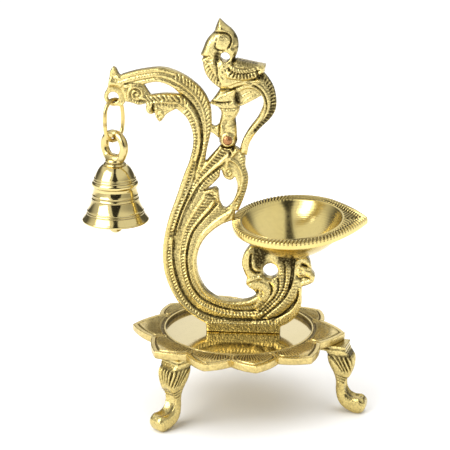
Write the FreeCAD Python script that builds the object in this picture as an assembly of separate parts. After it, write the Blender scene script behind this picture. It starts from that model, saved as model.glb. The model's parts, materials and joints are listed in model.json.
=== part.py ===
"""Standing brass oil lamp: lotus plate on three legs, openwork swan frame, parrot finial, oil cup and hanging bell.

Millimetres, +Z up, the floor at z = 0. The frame lies in the XZ plane, the bell hangs towards -X and the
cup points towards +X. Shapes are drawn about the plate's centre and moved by ORIGIN_SHIFT when they are
written, so that the origin is the middle of the whole lamp's box on the floor.
"""
import math
import os

import FreeCAD, Part
from FreeCAD import Vector

# ---- driving dimensions -------------------------------------------------------------------------------
PLATE_TOP = 42.0            # height of the petals' upper face above the floor
PLATE_THICK = 4.0
PETAL_TIP_R = 57.0
PETAL_NOTCH_R = 48.5
PETAL_BULGE = 1.3           # how far a petal's side stands out from the straight line
PETAL_ANGLES = (-4, -45, -77, -104, -135, -178, -218, -253, -289, -325)   # degrees, seen from above
DISC_R = 39.0
DISC_DEPTH = 2.4

LEG_CENTRE = Vector(4.4, 1.7, 0)
LEG_ANGLES = {"leg_front_left": -132, "leg_right": -12, "leg_back": 108}
LEG_WIDTH = 13.0
LEG_SCREW_REACH = 45.0      # from the legs' common centre
LEG_FLANGE_THICK = 3.0

FRAME_HALF = 3.6            # half thickness of the openwork casting
HEAD_HALF = 1.8             # thinner next to the eye, so that the link passes
PEDESTAL_HALF = 4.6
FOOT_X = (-17.6, 23.3)
FOOT_HALF = 6.0
FOOT_TOP = 45.3
FRAME_SCREW_X = {"left": -10.0, "right": 16.0}

EYE = Vector(-65.6, 0, 165.9)
EYE_RING = (3.8, 1.1)       # major and minor radius of the eye
EYE_BORE_R = 2.76           # the drill leaves a narrow land, which the link turns about
WIRE_R = 1.05
WIRE_GAP = 0.10             # running gap where one ring hangs on the next
LINK_WIDTH = 15.0
LINK_PITCH = 21.5           # from the wire in the eye to the wire under the bell's loop
LINK_FLAT = 2.0             # straight run in the middle of each of its ends
LINK_TURN = 56.0            # the link hangs turned out of the frame's plane
LOOP_RING = (6.0, 2.2)      # the bell's own loop

BELL_MOUTH = 99.4           # height of the mouth above the floor
BELL_HEIGHT = 30.4          # from the mouth to the flat on the dome
DOME_WALL = 2.0
STEM_R = 1.9
COLLAR = (6.2, 4.4, 3.4)    # lower radius, upper radius and height
STAPLE_SIZE = 4.4           # between wire centres, both ways
STAPLE_WIRE_R = 0.7
STAPLE_FLAT = 1.0
STAPLE_HEIGHT = 124.0
STAPLE_BOSS_R = 1.3
ROD_RING = (2.0, 0.65)
ROD_R = 0.8
BALL_R = 3.85
BALL_HEIGHT = 96.4

RIVET = Vector(-6.2, 0, 145.1)
RIVET_R = 1.6
RIVET_HEAD_R = 2.5
RIVET_HEAD_RISE = 1.1
PARROT_HALF = 4.2
TAIL_HALF = 2.8

CUP_CENTRE = Vector(28.0, 0, 103.0)     # middle of the rim's upper face
CUP_R = 32.0
CUP_TIP = 38.8              # from the cup's centre to the point of the spout
CUP_BOWL_R = 26.5
CUP_BOWL_DEPTH = 16.5
CUP_LEAN = 7.5              # degrees, the rim's front edge is the lower one
CUP_RISE = 2.8              # degrees, the spout is the higher end
CUP_LIP = 2.8
CUP_DEPTH = 20.0
STUD_R = 2.0
STUD_X = 26.5

SCREW_R = 1.5
SCREW_HEAD = (2.8, 1.9)     # radius and height of the pan heads
WASHER = (3.9, 0.9)         # radius and thickness
BLIND = 0.75                # share of the plate that the leg screws enter

ORIGIN_SHIFT = Vector(5.7, -6.2, 0)

X = Vector(1, 0, 0)
Y = Vector(0, 1, 0)
Z = Vector(0, 0, 1)
PLATE_BOTTOM = PLATE_TOP - PLATE_THICK
DISC_TOP = PLATE_TOP - DISC_DEPTH
LINK_ARC = LINK_WIDTH / 2 - WIRE_R
LINK_TOP = EYE - Z * (EYE_RING[0] - EYE_RING[1] - WIRE_R - WIRE_GAP)
LINK_BOTTOM = LINK_TOP - Z * LINK_PITCH
LOOP_CENTRE = LINK_BOTTOM + Z * (WIRE_R + WIRE_GAP - (LOOP_RING[0] - LOOP_RING[1]))
BELL_X = EYE.x
BELL_TOP = BELL_MOUTH + BELL_HEIGHT


# ---- helpers ------------------------------------------------------------------------------------------
def polar(radius, degrees, height=0.0):
    """A point at that radius and angle about the Z axis."""
    return Vector(radius * math.cos(math.radians(degrees)), radius * math.sin(math.radians(degrees)), height)


def turned(shape, axis, degrees, about=Vector(0, 0, 0)):
    """A copy of the shape, turned about an axis through a point."""
    copy = shape.copy()
    copy.rotate(about, axis, degrees)
    return copy


def edge_through(points):
    """A straight edge through two points, or one smooth curve through more."""
    if len(points) == 2:
        return Part.LineSegment(points[0], points[1]).toShape()
    curve = Part.BSplineCurve()
    curve.interpolate(points)
    return curve.toShape()


def upright_face(*stretches):
    """A face in the XZ plane. Each stretch is a list of (x, z) points on one smooth edge; corners lie between."""
    ends = [stretch[-1] for stretch in stretches]
    edges = []
    for start, stretch in zip([ends[-1]] + ends[:-1], stretches):
        points = [Vector(x, 0, z) for x, z in [start] + list(stretch)]
        edges.append(edge_through(points))
    return Part.Face(Part.Wire(edges))


def slab(face, low_y, high_y):
    """The upright face, given thickness from low_y to high_y."""
    copy = face.copy()
    copy.translate(Y * low_y)
    return copy.extrude(Y * (high_y - low_y))


def cylinder(radius, length, base, axis=Z):
    return Part.makeCylinder(radius, length, base, axis)


def ring(sizes, centre, axis):
    """A torus of sizes (major, minor)."""
    return Part.makeTorus(sizes[0], sizes[1], centre, axis)


def fused(shapes):
    whole = shapes[0].multiFuse(shapes[1:])
    return whole.removeSplitter()


def oval_wire(width, height, flat, wire_r):
    """A closed oval of round wire in the XZ plane, its highest centre at the origin: four runs and four bends."""
    bend = (width - flat) / 2
    half = flat / 2
    side = height - 2 * bend
    pieces = []
    for way in (-1, 1):
        pieces.append(cylinder(wire_r, side, Vector(way * width / 2, 0, bend - height)))
        end_z = -height / 2 * (1 - way)
        pieces.append(cylinder(wire_r, flat, Vector(-half, 0, end_z), X))
        for x_way in (-1, 1):
            centre = Vector(x_way * half, 0, -bend if way > 0 else bend - height)
            quarter = Part.makeTorus(bend, wire_r, Vector(0, 0, 0), Y, -180, 180, 90)
            turn = {(1, 1): 0, (-1, 1): 90, (-1, -1): 180, (1, -1): 270}[(way, x_way)]
            pieces.append(turned(quarter, Y, turn).translated(centre))
    return fused(pieces)


def revolved(profile, centre_x):
    """A solid turned about a vertical axis. The profile's stretches are lists of (radius, z) points."""
    face = upright_face(*profile)
    solid = face.revolve(Vector(0, 0, 0), Z, 360)
    solid.translate(X * centre_x)
    return solid


def write(name, shape):
    """One STEP file per sub-part, in the lamp's own frame."""
    moved = shape.copy()
    moved.translate(ORIGIN_SHIFT)
    moved.exportStep(f"parts/{name}.step")
    print(f"{name:24s} volume {moved.Volume:9.1f}  solids {len(moved.Solids)}  valid {moved.isValid()}")


# ---- lotus plate and legs -----------------------------------------------------------------------------
def lotus_plate():
    """Ten pointed petals round a recessed turned disc."""
    edges = []
    angles = list(PETAL_ANGLES)
    for angle, following in zip(angles, angles[1:] + [angles[0] - 360]):
        notch_angle = (angle + following) / 2
        tip = polar(PETAL_TIP_R, angle)
        notch = polar(PETAL_NOTCH_R, notch_angle)
        next_tip = polar(PETAL_TIP_R, following)
        for start, end in ((tip, notch), (notch, next_tip)):
            middle = (start + end) * 0.5
            middle = middle * (1 + PETAL_BULGE / middle.Length)
            edges.append(Part.Arc(start, middle, end).toShape())
    plate = Part.Face(Part.Wire(edges)).extrude(Z * PLATE_THICK)
    plate.translate(Z * PLATE_BOTTOM)
    plate = plate.cut(cylinder(DISC_R, DISC_DEPTH, Z * DISC_TOP))
    for x in FRAME_SCREW_X.values():
        plate = plate.cut(cylinder(SCREW_R, PLATE_THICK, Vector(x, 0, PLATE_BOTTOM)))
    for angle in LEG_ANGLES.values():
        hole = LEG_CENTRE + polar(LEG_SCREW_REACH, angle, PLATE_BOTTOM)
        plate = plate.cut(cylinder(SCREW_R, PLATE_THICK * BLIND, hole))
    return plate


def leg(angle):
    """Cabriole leg: ear and flange under the plate, bulging knee, slim ankle, ball toe that kicks outward."""
    top = PLATE_BOTTOM
    side = upright_face(
        [(56.5, top)],
        [(56.9, top - LEG_FLANGE_THICK)],
        [(59.8, 30.0), (59.4, 24.0), (57.8, 18.5), (57.2, 14.0), (57.6, 10.6), (61.0, 9.4), (65.0, 9.4),
         (67.4, 6.0), (66.0, 1.8), (63.4, 0.0)],
        [(60.2, 0.0)],
        [(56.0, 2.8), (52.6, 6.6), (51.4, 12.0), (51.4, 17.0), (49.0, 23.0), (48.3, 29.0), (48.6, 34.0)],
        [(48.6, top - LEG_FLANGE_THICK)],
        [(40.5, top - LEG_FLANGE_THICK)],
        [(40.5, top)],
    )
    half = LEG_WIDTH / 2
    front = [Vector(0, t, z) for t, z in (
        (half, top), (half, top - LEG_FLANGE_THICK), (half - 0.3, 28.0), (4.7, 18.0), (4.2, 13.0), (4.6, 5.0),
        (3.4, 0.0), (-3.4, 0.0), (-4.6, 5.0), (-4.2, 13.0), (-4.7, 18.0), (-half + 0.3, 28.0),
        (-half, top - LEG_FLANGE_THICK), (-half, top))]
    outline = Part.Face(Part.makePolygon(front + [front[0]]))
    shape = slab(side, -half, half).common(outline.extrude(X * 80))
    shape = shape.cut(cylinder(SCREW_R, LEG_FLANGE_THICK, Vector(LEG_SCREW_REACH, 0, top - LEG_FLANGE_THICK)))
    shape = turned(shape, Z, angle)
    shape.translate(LEG_CENTRE)
    return shape


def screw(head_top, reach, grip):
    """A pan-head screw from beneath; its head's upper face is at head_top and its shank grips upward."""
    head = cylinder(SCREW_HEAD[0], SCREW_HEAD[1], reach + Z * (head_top - SCREW_HEAD[1]))
    return head.fuse(cylinder(SCREW_R, grip, reach + Z * head_top)).removeSplitter()


def leg_screw(angle):
    place = LEG_CENTRE + polar(LEG_SCREW_REACH, angle)
    return screw(PLATE_BOTTOM - LEG_FLANGE_THICK, place, LEG_FLANGE_THICK + PLATE_THICK * BLIND)


def frame_washer(x):
    base = Vector(x, 0, PLATE_BOTTOM - WASHER[1])
    return cylinder(WASHER[0], WASHER[1], base).cut(cylinder(SCREW_R, WASHER[1], base))


def frame_screw(x):
    return screw(PLATE_BOTTOM - WASHER[1], X * x, WASHER[1] + FOOT_TOP - PLATE_BOTTOM - 2.0)


# ---- openwork frame -----------------------------------------------------------------------------------
def frame_body():
    """Arch, neck and the C-shaped swan body that ends under the pedestal, with the slot under the arch."""
    outer = upright_face(
        [(-55.0, 179.8), (-48.6, 181.2), (-40.1, 182.0), (-32.2, 179.9), (-25.0, 175.8), (-19.1, 170.2),
         (-15.5, 163.0), (-14.7, 156.0), (-14.9, 150.0), (-17.4, 138.0), (-18.6, 127.0), (-18.4, 117.5)],
        [(-14.0, 118.2), (-10.9, 116.6)],
        [(-10.3, 112.1), (-8.5, 108.1)],
        [(-2.0, 107.5)],
        [(-3.0, 101.8)],
        [(-8.5, 99.6), (-13.3, 96.3), (-18.7, 90.4), (-21.5, 84.0), (-22.4, 77.6), (-21.2, 69.9),
         (-17.5, 62.8), (-12.0, 58.5), (-4.6, 56.8), (5.2, 57.8), (10.3, 61.1)],
        [(20.0, 60.0), (33.2, 59.3)],
        [(32.4, 51.8), (26.8, 46.2), (22.0, 44.0)],
        [(-17.5, 43.9)],
        [(-23.7, 47.6), (-31.1, 53.9), (-36.6, 62.9), (-39.6, 71.9), (-40.5, 80.2), (-40.1, 88.5),
         (-37.6, 100.6), (-33.3, 113.4), (-29.1, 126.0), (-26.4, 133.0), (-24.4, 141.9), (-24.7, 148.6),
         (-27.7, 156.0), (-33.0, 160.6), (-36.9, 161.1)],
        [(-38.2, 157.0), (-41.6, 153.6), (-43.5, 157.8)],
        [(-46.9, 158.9), (-48.2, 163.4)],
        [(-52.0, 162.8), (-57.0, 164.0), (-60.4, 164.2)],
        [(-60.9, 171.2)],
        [(-61.3, 177.8)],
    )
    slot = upright_face(
        [(-42.1, 174.4), (-35.5, 172.2), (-30.9, 168.3)],
        [(-38.0, 168.6), (-46.2, 167.6)],
        [(-49.7, 172.9)],
    )
    return slab(outer.cut(slot), -FRAME_HALF, FRAME_HALF)


def frame_head():
    """The bird's head at the arch's end: horn, cheek and beak beside the bored eye that carries the link."""
    cheek = upright_face(
        [(-67.3, 176.5), (-66.4, 181.2)],
        [(-63.6, 180.0), (-60.8, 176.0)],
        [(-60.0, 162.5)],
        [(-62.0, 161.2), (-62.2, 165.9), (-63.6, 170.4)],
    )
    return slab(cheek, -HEAD_HALF, HEAD_HALF).fuse(ring(EYE_RING, EYE, Y))


def frame_strands():
    """The ribbed strands behind the parrot: one runs from the rivet to the neck, one down to the cup."""
    diagonal = upright_face(
        [(-17.1, 133.9)],
        [(-22.5, 128.0), (-22.0, 119.0)],
        [(-18.4, 118.0), (-10.4, 125.2)],
        [(-9.8, 129.0), (-7.8, 124.6), (-4.4, 123.6), (-2.0, 126.5), (-2.4, 130.0)],
        [(-1.0, 136.0), (-2.4, 141.0)],
        [(-8.8, 143.6)],
    )
    right = upright_face(
        [(2.6, 136.6), (2.9, 131.0), (4.6, 123.5), (3.7, 115.9), (-1.2, 105.8)],
        [(-8.5, 107.0)],
        [(-2.3, 115.7), (-1.4, 121.0), (-3.6, 128.0)],
        [(-4.0, 134.0), (-3.2, 142.0)],
    )
    bridge = upright_face(
        [(-15.4, 150.9)],
        [(-11.0, 149.2), (-6.2, 149.6)],
        [(-6.2, 143.0)],
        [(-9.5, 145.2), (-15.4, 146.6)],
    )
    strands = [slab(face, -FRAME_HALF, FRAME_HALF) for face in (diagonal, right, bridge)]
    lug = cylinder(4.8, FRAME_HALF, Vector(RIVET.x, 0, RIVET.z), Y)
    return strands + [lug]


def frame_pedestal():
    """Scrolled pedestal under the cup, with a round hole and a small bird's head on its right."""
    outline = upright_face(
        [(7.5, 63.8), (3.6, 66.4), (2.6, 72.0), (1.2, 78.6), (3.0, 84.0), (5.9, 88.4)],
        [(34.3, 84.0)],
        [(37.9, 75.5), (40.1, 69.7)],
        [(36.5, 67.8), (33.6, 65.2)],
        [(33.2, 58.0)],
        [(20.0, 56.0), (10.3, 58.0)],
    )
    block = slab(outline, -PEDESTAL_HALF, PEDESTAL_HALF)
    return block.cut(cylinder(4.0, 2 * PEDESTAL_HALF, Vector(16.7, -PEDESTAL_HALF, 74.1), Y))


def swan_frame(parrot, cup, studs):
    foot = Part.makeBox(FOOT_X[1] - FOOT_X[0], 2 * FOOT_HALF, FOOT_TOP - DISC_TOP,
                        Vector(FOOT_X[0], -FOOT_HALF, DISC_TOP))
    casting = fused([frame_body(), frame_head(), frame_pedestal(), foot] + frame_strands())
    casting = casting.cut(cylinder(EYE_BORE_R, 2 * FRAME_HALF, EYE - Y * FRAME_HALF, Y))
    for other in [parrot, cup] + studs:
        casting = casting.cut(other)
    return max(casting.Solids, key=lambda solid: solid.Volume)


# ---- parrot finial ------------------------------------------------------------------------------------
def parrot_finial():
    """Crested parrot on a waisted post: separate casting, riveted to the front of the frame's lug."""
    bird = upright_face(
        [(-12.2, 204.0), (-13.3, 200.9)],
        [(-17.8, 196.6), (-20.3, 189.4)],
        [(-19.0, 187.6), (-19.1, 185.5), (-18.6, 180.0), (-15.5, 174.6), (-11.0, 170.9)],
        [(-12.0, 167.0), (-15.0, 163.6)],
        [(-11.6, 161.2), (-10.2, 157.0), (-10.6, 152.0), (-10.9, 145.4), (-9.4, 141.4), (-6.2, 140.3)],
        [(-2.4, 142.2), (-2.0, 150.0), (-0.8, 158.5), (0.6, 163.5), (-1.8, 168.5)],
        [(3.0, 174.0), (9.0, 178.5), (12.4, 183.4)],
        [(5.0, 185.2), (-2.0, 187.2)],
        [(-1.0, 190.5), (-1.6, 194.9), (-5.2, 199.6), (-11.0, 207.7)],
    )
    neck_hole = cylinder(2.5, 2 * PARROT_HALF, Vector(-7.8, -PARROT_HALF, 188.3), Y)
    tail = upright_face(
        [(-3.0, 176.0), (6.0, 181.0), (12.0, 178.0), (16.8, 171.7), (18.5, 165.1), (15.7, 157.1), (9.9, 150.9),
         (5.1, 144.0), (3.6, 137.0)],
        [(-0.4, 137.4)],
        [(0.9, 144.0), (4.2, 150.6), (9.6, 158.4), (11.8, 166.0), (8.6, 170.9), (3.4, 171.4), (-2.4, 167.6)],
        [(-6.0, 172.0)],
    )
    wing = upright_face(
        [(-10.9, 178.8), (-5.4, 184.1), (-0.2, 186.2)],
        [(6.0, 185.4), (12.3, 183.6)],
        [(11.6, 180.0)],
        [(5.0, 176.6), (-3.0, 174.2), (-9.3, 175.3)],
    )
    body = slab(bird, -PARROT_HALF, PARROT_HALF).cut(neck_hole)
    wings = [slab(wing, -PARROT_HALF - 2.0, -PARROT_HALF + 0.5), slab(wing, PARROT_HALF - 0.5, PARROT_HALF + 2.0)]
    bird_solid = fused([body, slab(tail, -TAIL_HALF, TAIL_HALF)] + wings)
    behind_tang = Part.makeBox(12, 8, 14.5, Vector(RIVET.x - 6, 0, RIVET.z - 6))
    bird_solid = bird_solid.cut(behind_tang)
    return bird_solid.cut(cylinder(RIVET_R, 20, Vector(RIVET.x, -10, RIVET.z), Y))


def parrot_rivet():
    """Copper rivet through the parrot's tang and the frame's lug, with a domed head on each side."""
    front, back = -PARROT_HALF, FRAME_HALF
    shank = cylinder(RIVET_R, back - front, Vector(RIVET.x, front, RIVET.z), Y)
    heads = []
    sphere_r = (RIVET_HEAD_R ** 2 + RIVET_HEAD_RISE ** 2) / (2 * RIVET_HEAD_RISE)
    for face_y, way in ((front, -1), (back, 1)):
        ball = Part.makeSphere(sphere_r, Vector(RIVET.x, face_y - way * (sphere_r - RIVET_HEAD_RISE), RIVET.z))
        reach = cylinder(RIVET_HEAD_R, RIVET_HEAD_RISE * 1.5, Vector(RIVET.x, face_y, RIVET.z), Y * way)
        heads.append(ball.common(reach))
    return fused([shank] + heads)


# ---- oil cup ------------------------------------------------------------------------------------------
def teardrop(radius, tip, height):
    """A closed wire: a round cup whose +X side draws out to a point."""
    shoulder = 50
    side = polar(radius, shoulder)
    waist = Vector((side.x + tip) / 2 + 0.03 * radius, side.y * 0.42, 0)
    lower = [Vector(p.x, -p.y, 0) for p in (side, waist)]
    back = Part.Arc(side, Vector(-radius, 0, 0), lower[0]).toShape()
    point = Vector(tip, 0, 0)
    wire = Part.Wire([back, edge_through([lower[0], lower[1], point]), edge_through([point, waist, side])])
    wire.translate(Z * height)
    return wire


def placed_cup(shape):
    """From the cup's own axes to its place on the lamp: the spout rises a little and the front edge leans down."""
    shape = turned(shape, Y, -CUP_RISE)
    shape = turned(shape, X, CUP_LEAN)
    shape.translate(CUP_CENTRE)
    return shape


def cup_blank():
    """The cup's outer form, without its bowl."""
    sections = ((1.0, 0.0), (1.0, -CUP_LIP), (0.86, -7.0), (0.68, -12.5), (0.42, -17.5), (0.18, -CUP_DEPTH))
    lip = Part.makeLoft([teardrop(CUP_R * s, CUP_TIP * s, z) for s, z in sections[:2]], True)
    belly = Part.makeLoft([teardrop(CUP_R * s * 0.97, CUP_TIP * s * 0.97, z) for s, z in sections[1:]], True)
    return lip.fuse(belly)


def oil_cup():
    sphere_r = (CUP_BOWL_R ** 2 + CUP_BOWL_DEPTH ** 2) / (2 * CUP_BOWL_DEPTH)
    bowl = Part.makeSphere(sphere_r, Z * (sphere_r - CUP_BOWL_DEPTH))
    return placed_cup(cup_blank().cut(bowl))


def cup_stud():
    """The stud that holds the cup: screwed into the pedestal, its end blind in the cup's foot."""
    return cylinder(STUD_R, 11.0, Vector(STUD_X, 0, 73.5))


# ---- bell ---------------------------------------------------------------------------------------------
def link_wire():
    """Closed oval wire link, hanging turned out of the frame's plane."""
    wire = oval_wire(2 * LINK_ARC, LINK_PITCH, LINK_FLAT, WIRE_R)
    wire = turned(wire, Z, LINK_TURN)
    wire.translate(LINK_TOP)
    return wire


def bell_body():
    """Turned bell: dome, bead ring, waist, two ridges and a flared lip, hollow beneath."""
    mouth = BELL_MOUTH
    profile = [
        [(STEM_R, BELL_TOP)],
        [(6.4, BELL_TOP)],
        [(9.6, mouth + 27.4), (11.0, mouth + 23.0)],
        [(12.2, mouth + 22.2), (12.4, mouth + 18.6), (11.5, mouth + 16.4)],
        [(12.0, mouth + 12.6), (13.2, mouth + 9.2)],
        [(14.4, mouth + 6.0), (15.6, mouth + 3.2), (17.6, mouth + 1.4)],
        [(17.4, mouth)],
        [(15.6, mouth)],
        [(13.2, mouth + 4.6), (11.4, mouth + 9.4), (9.9, mouth + 16.4), (9.2, mouth + 22.6),
         (7.4, mouth + 26.6), (STEM_R + 1.0, BELL_TOP - DOME_WALL)],
        [(STEM_R, BELL_TOP - DOME_WALL)],
    ]
    return revolved(profile, BELL_X)


def bell_loop():
    """The bell's loop with its collar, and the stem that goes through the dome."""
    stem_length = DOME_WALL + 0.8
    loop = turned(ring(LOOP_RING, LOOP_CENTRE, Y), Z, LINK_TURN - 90, LOOP_CENTRE)
    collar = Part.makeCone(*COLLAR, Vector(BELL_X, 0, BELL_TOP))
    stem = cylinder(STEM_R, stem_length, Vector(BELL_X, 0, BELL_TOP - stem_length))
    return fused([loop, collar, stem])


def clapper_staple():
    """The eye brazed to the stem's end inside the dome."""
    boss_base = STAPLE_HEIGHT + STAPLE_SIZE / 2
    boss_top = BELL_TOP - DOME_WALL - 0.8
    boss = cylinder(STAPLE_BOSS_R, boss_top - boss_base, Vector(BELL_X, 0, boss_base))
    wire = turned(oval_wire(STAPLE_SIZE, STAPLE_SIZE, STAPLE_FLAT, STAPLE_WIRE_R), Z, 90)
    wire.translate(Vector(BELL_X, 0, STAPLE_HEIGHT + STAPLE_SIZE / 2))
    return fused([wire, boss])


def rod_eye_height():
    """Centre of the clapper rod's eye, where it hangs on the staple."""
    return STAPLE_HEIGHT - STAPLE_SIZE / 2 + STAPLE_WIRE_R + WIRE_GAP - (ROD_RING[0] - ROD_RING[1])


def clapper_rod():
    eye = rod_eye_height()
    rod_top = eye - ROD_RING[0]
    rod_base = BALL_HEIGHT + BALL_R - 0.6
    rod = cylinder(ROD_R, rod_top - rod_base, Vector(BELL_X, 0, rod_base))
    return fused([ring(ROD_RING, Vector(BELL_X, 0, eye), Y), rod])


def clapper_ball(rod):
    return Part.makeSphere(BALL_R, Vector(BELL_X, 0, BALL_HEIGHT)).cut(rod)


# ---- assembly -----------------------------------------------------------------------------------------
def build():
    os.makedirs("parts", exist_ok=True)
    write("lotus_plate", lotus_plate())
    for name, angle in LEG_ANGLES.items():
        write(name, leg(angle))
        write(name.replace("leg_", "leg_screw_"), leg_screw(angle))

    parrot = parrot_finial()
    stud = cup_stud()
    cup = oil_cup().cut(stud)
    screws = {side: frame_screw(x) for side, x in FRAME_SCREW_X.items()}
    write("swan_frame", swan_frame(parrot, placed_cup(cup_blank()), [stud, parrot_rivet()] + list(screws.values())))
    for side, x in FRAME_SCREW_X.items():
        write(f"frame_screw_{side}", screws[side])
        write(f"frame_washer_{side}", frame_washer(x))
    write("parrot_finial", parrot)
    write("parrot_rivet", parrot_rivet())
    write("oil_cup", cup)
    write("cup_stud", stud)

    write("hanging_link", link_wire())
    write("bell_body", bell_body())
    write("bell_loop", bell_loop())
    write("clapper_staple", clapper_staple())
    rod = clapper_rod()
    write("clapper_rod", rod)
    write("clapper_ball", clapper_ball(rod))


build()
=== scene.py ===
"""Looks of the standing brass oil lamp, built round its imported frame.

Shapes are drawn in millimetres about the plate's centre, with the openwork frame in the XZ plane, and moved
into the row frame by SHIFT. Castings are height maps over the XZ plane, meshed from both sides at once;
turned pieces are lathed; small forgings are meshed from distance fields.
"""
import math

import bpy
import numpy as np
from mathutils import Matrix, Vector
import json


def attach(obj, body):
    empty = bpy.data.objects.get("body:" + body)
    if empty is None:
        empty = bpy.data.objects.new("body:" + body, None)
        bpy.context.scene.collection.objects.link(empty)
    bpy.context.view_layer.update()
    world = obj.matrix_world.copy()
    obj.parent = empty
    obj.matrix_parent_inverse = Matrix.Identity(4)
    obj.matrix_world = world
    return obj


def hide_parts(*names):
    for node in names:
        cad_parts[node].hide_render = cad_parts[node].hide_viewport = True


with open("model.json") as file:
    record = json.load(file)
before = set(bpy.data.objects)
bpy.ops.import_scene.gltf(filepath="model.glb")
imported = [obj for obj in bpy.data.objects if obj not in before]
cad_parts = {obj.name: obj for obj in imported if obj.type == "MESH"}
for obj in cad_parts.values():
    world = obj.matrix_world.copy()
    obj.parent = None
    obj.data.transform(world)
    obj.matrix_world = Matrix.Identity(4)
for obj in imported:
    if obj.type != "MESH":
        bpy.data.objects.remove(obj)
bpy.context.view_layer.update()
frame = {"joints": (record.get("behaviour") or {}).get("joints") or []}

MM = 0.001
JOINT_AT = {j["name"]: np.array(j["pos_m"]) / MM for j in frame["joints"]}
EYE = np.array((-65.6, 0.0, 165.9))
SHIFT = JOINT_AT["link_swing"] - EYE
LINK_FOOT = JOINT_AT["bell_swing"] - SHIFT
STAPLE_FOOT = JOINT_AT["clapper_swing"] - SHIFT
BELL_X = EYE[0]

# sizes in millimetres, angles in degrees
PLATE_TOP = 42.0
PLATE_BOTTOM = 38.0
DISC_TOP = 39.6
DISC_R = 39.0
PETAL_TIP_R = 57.0
PETAL_NOTCH_R = 48.5
PETAL_BULGE = 1.3
PETAL_ANGLES = (-4, -45, -77, -104, -135, -178, -218, -253, -289, -325)
LEG_CENTRE = np.array((4.4, 1.7, 0.0))
LEG_ANGLES = {"leg_front_left": -132, "leg_right": -12, "leg_back": 108}
LEG_SCREW_REACH = 45.0
FRAME_SCREW_X = {"left": -10.0, "right": 16.0}
RIVET = np.array((-6.2, 0.0, 145.1))
CUP_CENTRE = np.array((28.0, 0.0, 103.0))
CUP_LEAN = 6.8
CUP_RISE = 2.8
BELL_MOUTH = 99.4
FAR = 99.0
seeded = np.random.default_rng(7)


# ---- curves -------------------------------------------------------------------------------------------
def smooth(points, step=0.3):
    """A polyline on the centripetal Catmull-Rom curve through the points. More columns than two ride along."""
    p = np.array(points, float)
    chord = np.maximum(np.linalg.norm(np.diff(p[:, :2], axis=0), axis=1), 1e-6)
    gap = np.sqrt(chord)[:, None]
    slope = np.diff(p, axis=0) / gap
    tangent = np.vstack([slope[:1], slope[-1:]]) if len(p) == 2 else np.empty_like(p)
    if len(p) > 2:
        tangent[1:-1] = (slope[:-1] * gap[1:] + slope[1:] * gap[:-1]) / (gap[:-1] + gap[1:])
        tangent[0] = 1.5 * slope[0] - 0.5 * tangent[1]
        tangent[-1] = 1.5 * slope[-1] - 0.5 * tangent[-2]
    out = []
    for i, length in enumerate(chord):
        u = np.linspace(0, 1, max(2, int(math.ceil(length / step)) + 1))[:-1, None]
        out.append((2 * u ** 3 - 3 * u ** 2 + 1) * p[i] + (u ** 3 - 2 * u ** 2 + u) * gap[i] * tangent[i]
                   + (3 * u ** 2 - 2 * u ** 3) * p[i + 1] + (u ** 3 - u ** 2) * gap[i] * tangent[i + 1])
    out.append(p[-1:])
    return np.vstack(out)


def outline(*stretches):
    """A closed polyline. Each stretch is a list of points on one smooth edge; corners lie between stretches."""
    ends = [stretch[-1] for stretch in stretches]
    runs = [smooth([start] + list(stretch))[:-1] for start, stretch in zip(ends[-1:] + ends[:-1], stretches)]
    return np.vstack(runs)


def spiral(centre, radius, turns, start, inner=0.12, half=0.7, taper=0.5):
    """A scroll's line, from its outer end inwards, with the half width of its ridge as a third column."""
    t = np.linspace(0, 1, int(40 * abs(turns)))
    reach = radius * (1 - (1 - inner) * t ** 0.85)
    angle = math.radians(start) + np.sign(turns) * 2 * math.pi * abs(turns) * t
    return np.stack([centre[0] + reach * np.cos(angle), centre[1] + reach * np.sin(angle),
                     half * (1 - taper * t)], 1)


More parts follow.
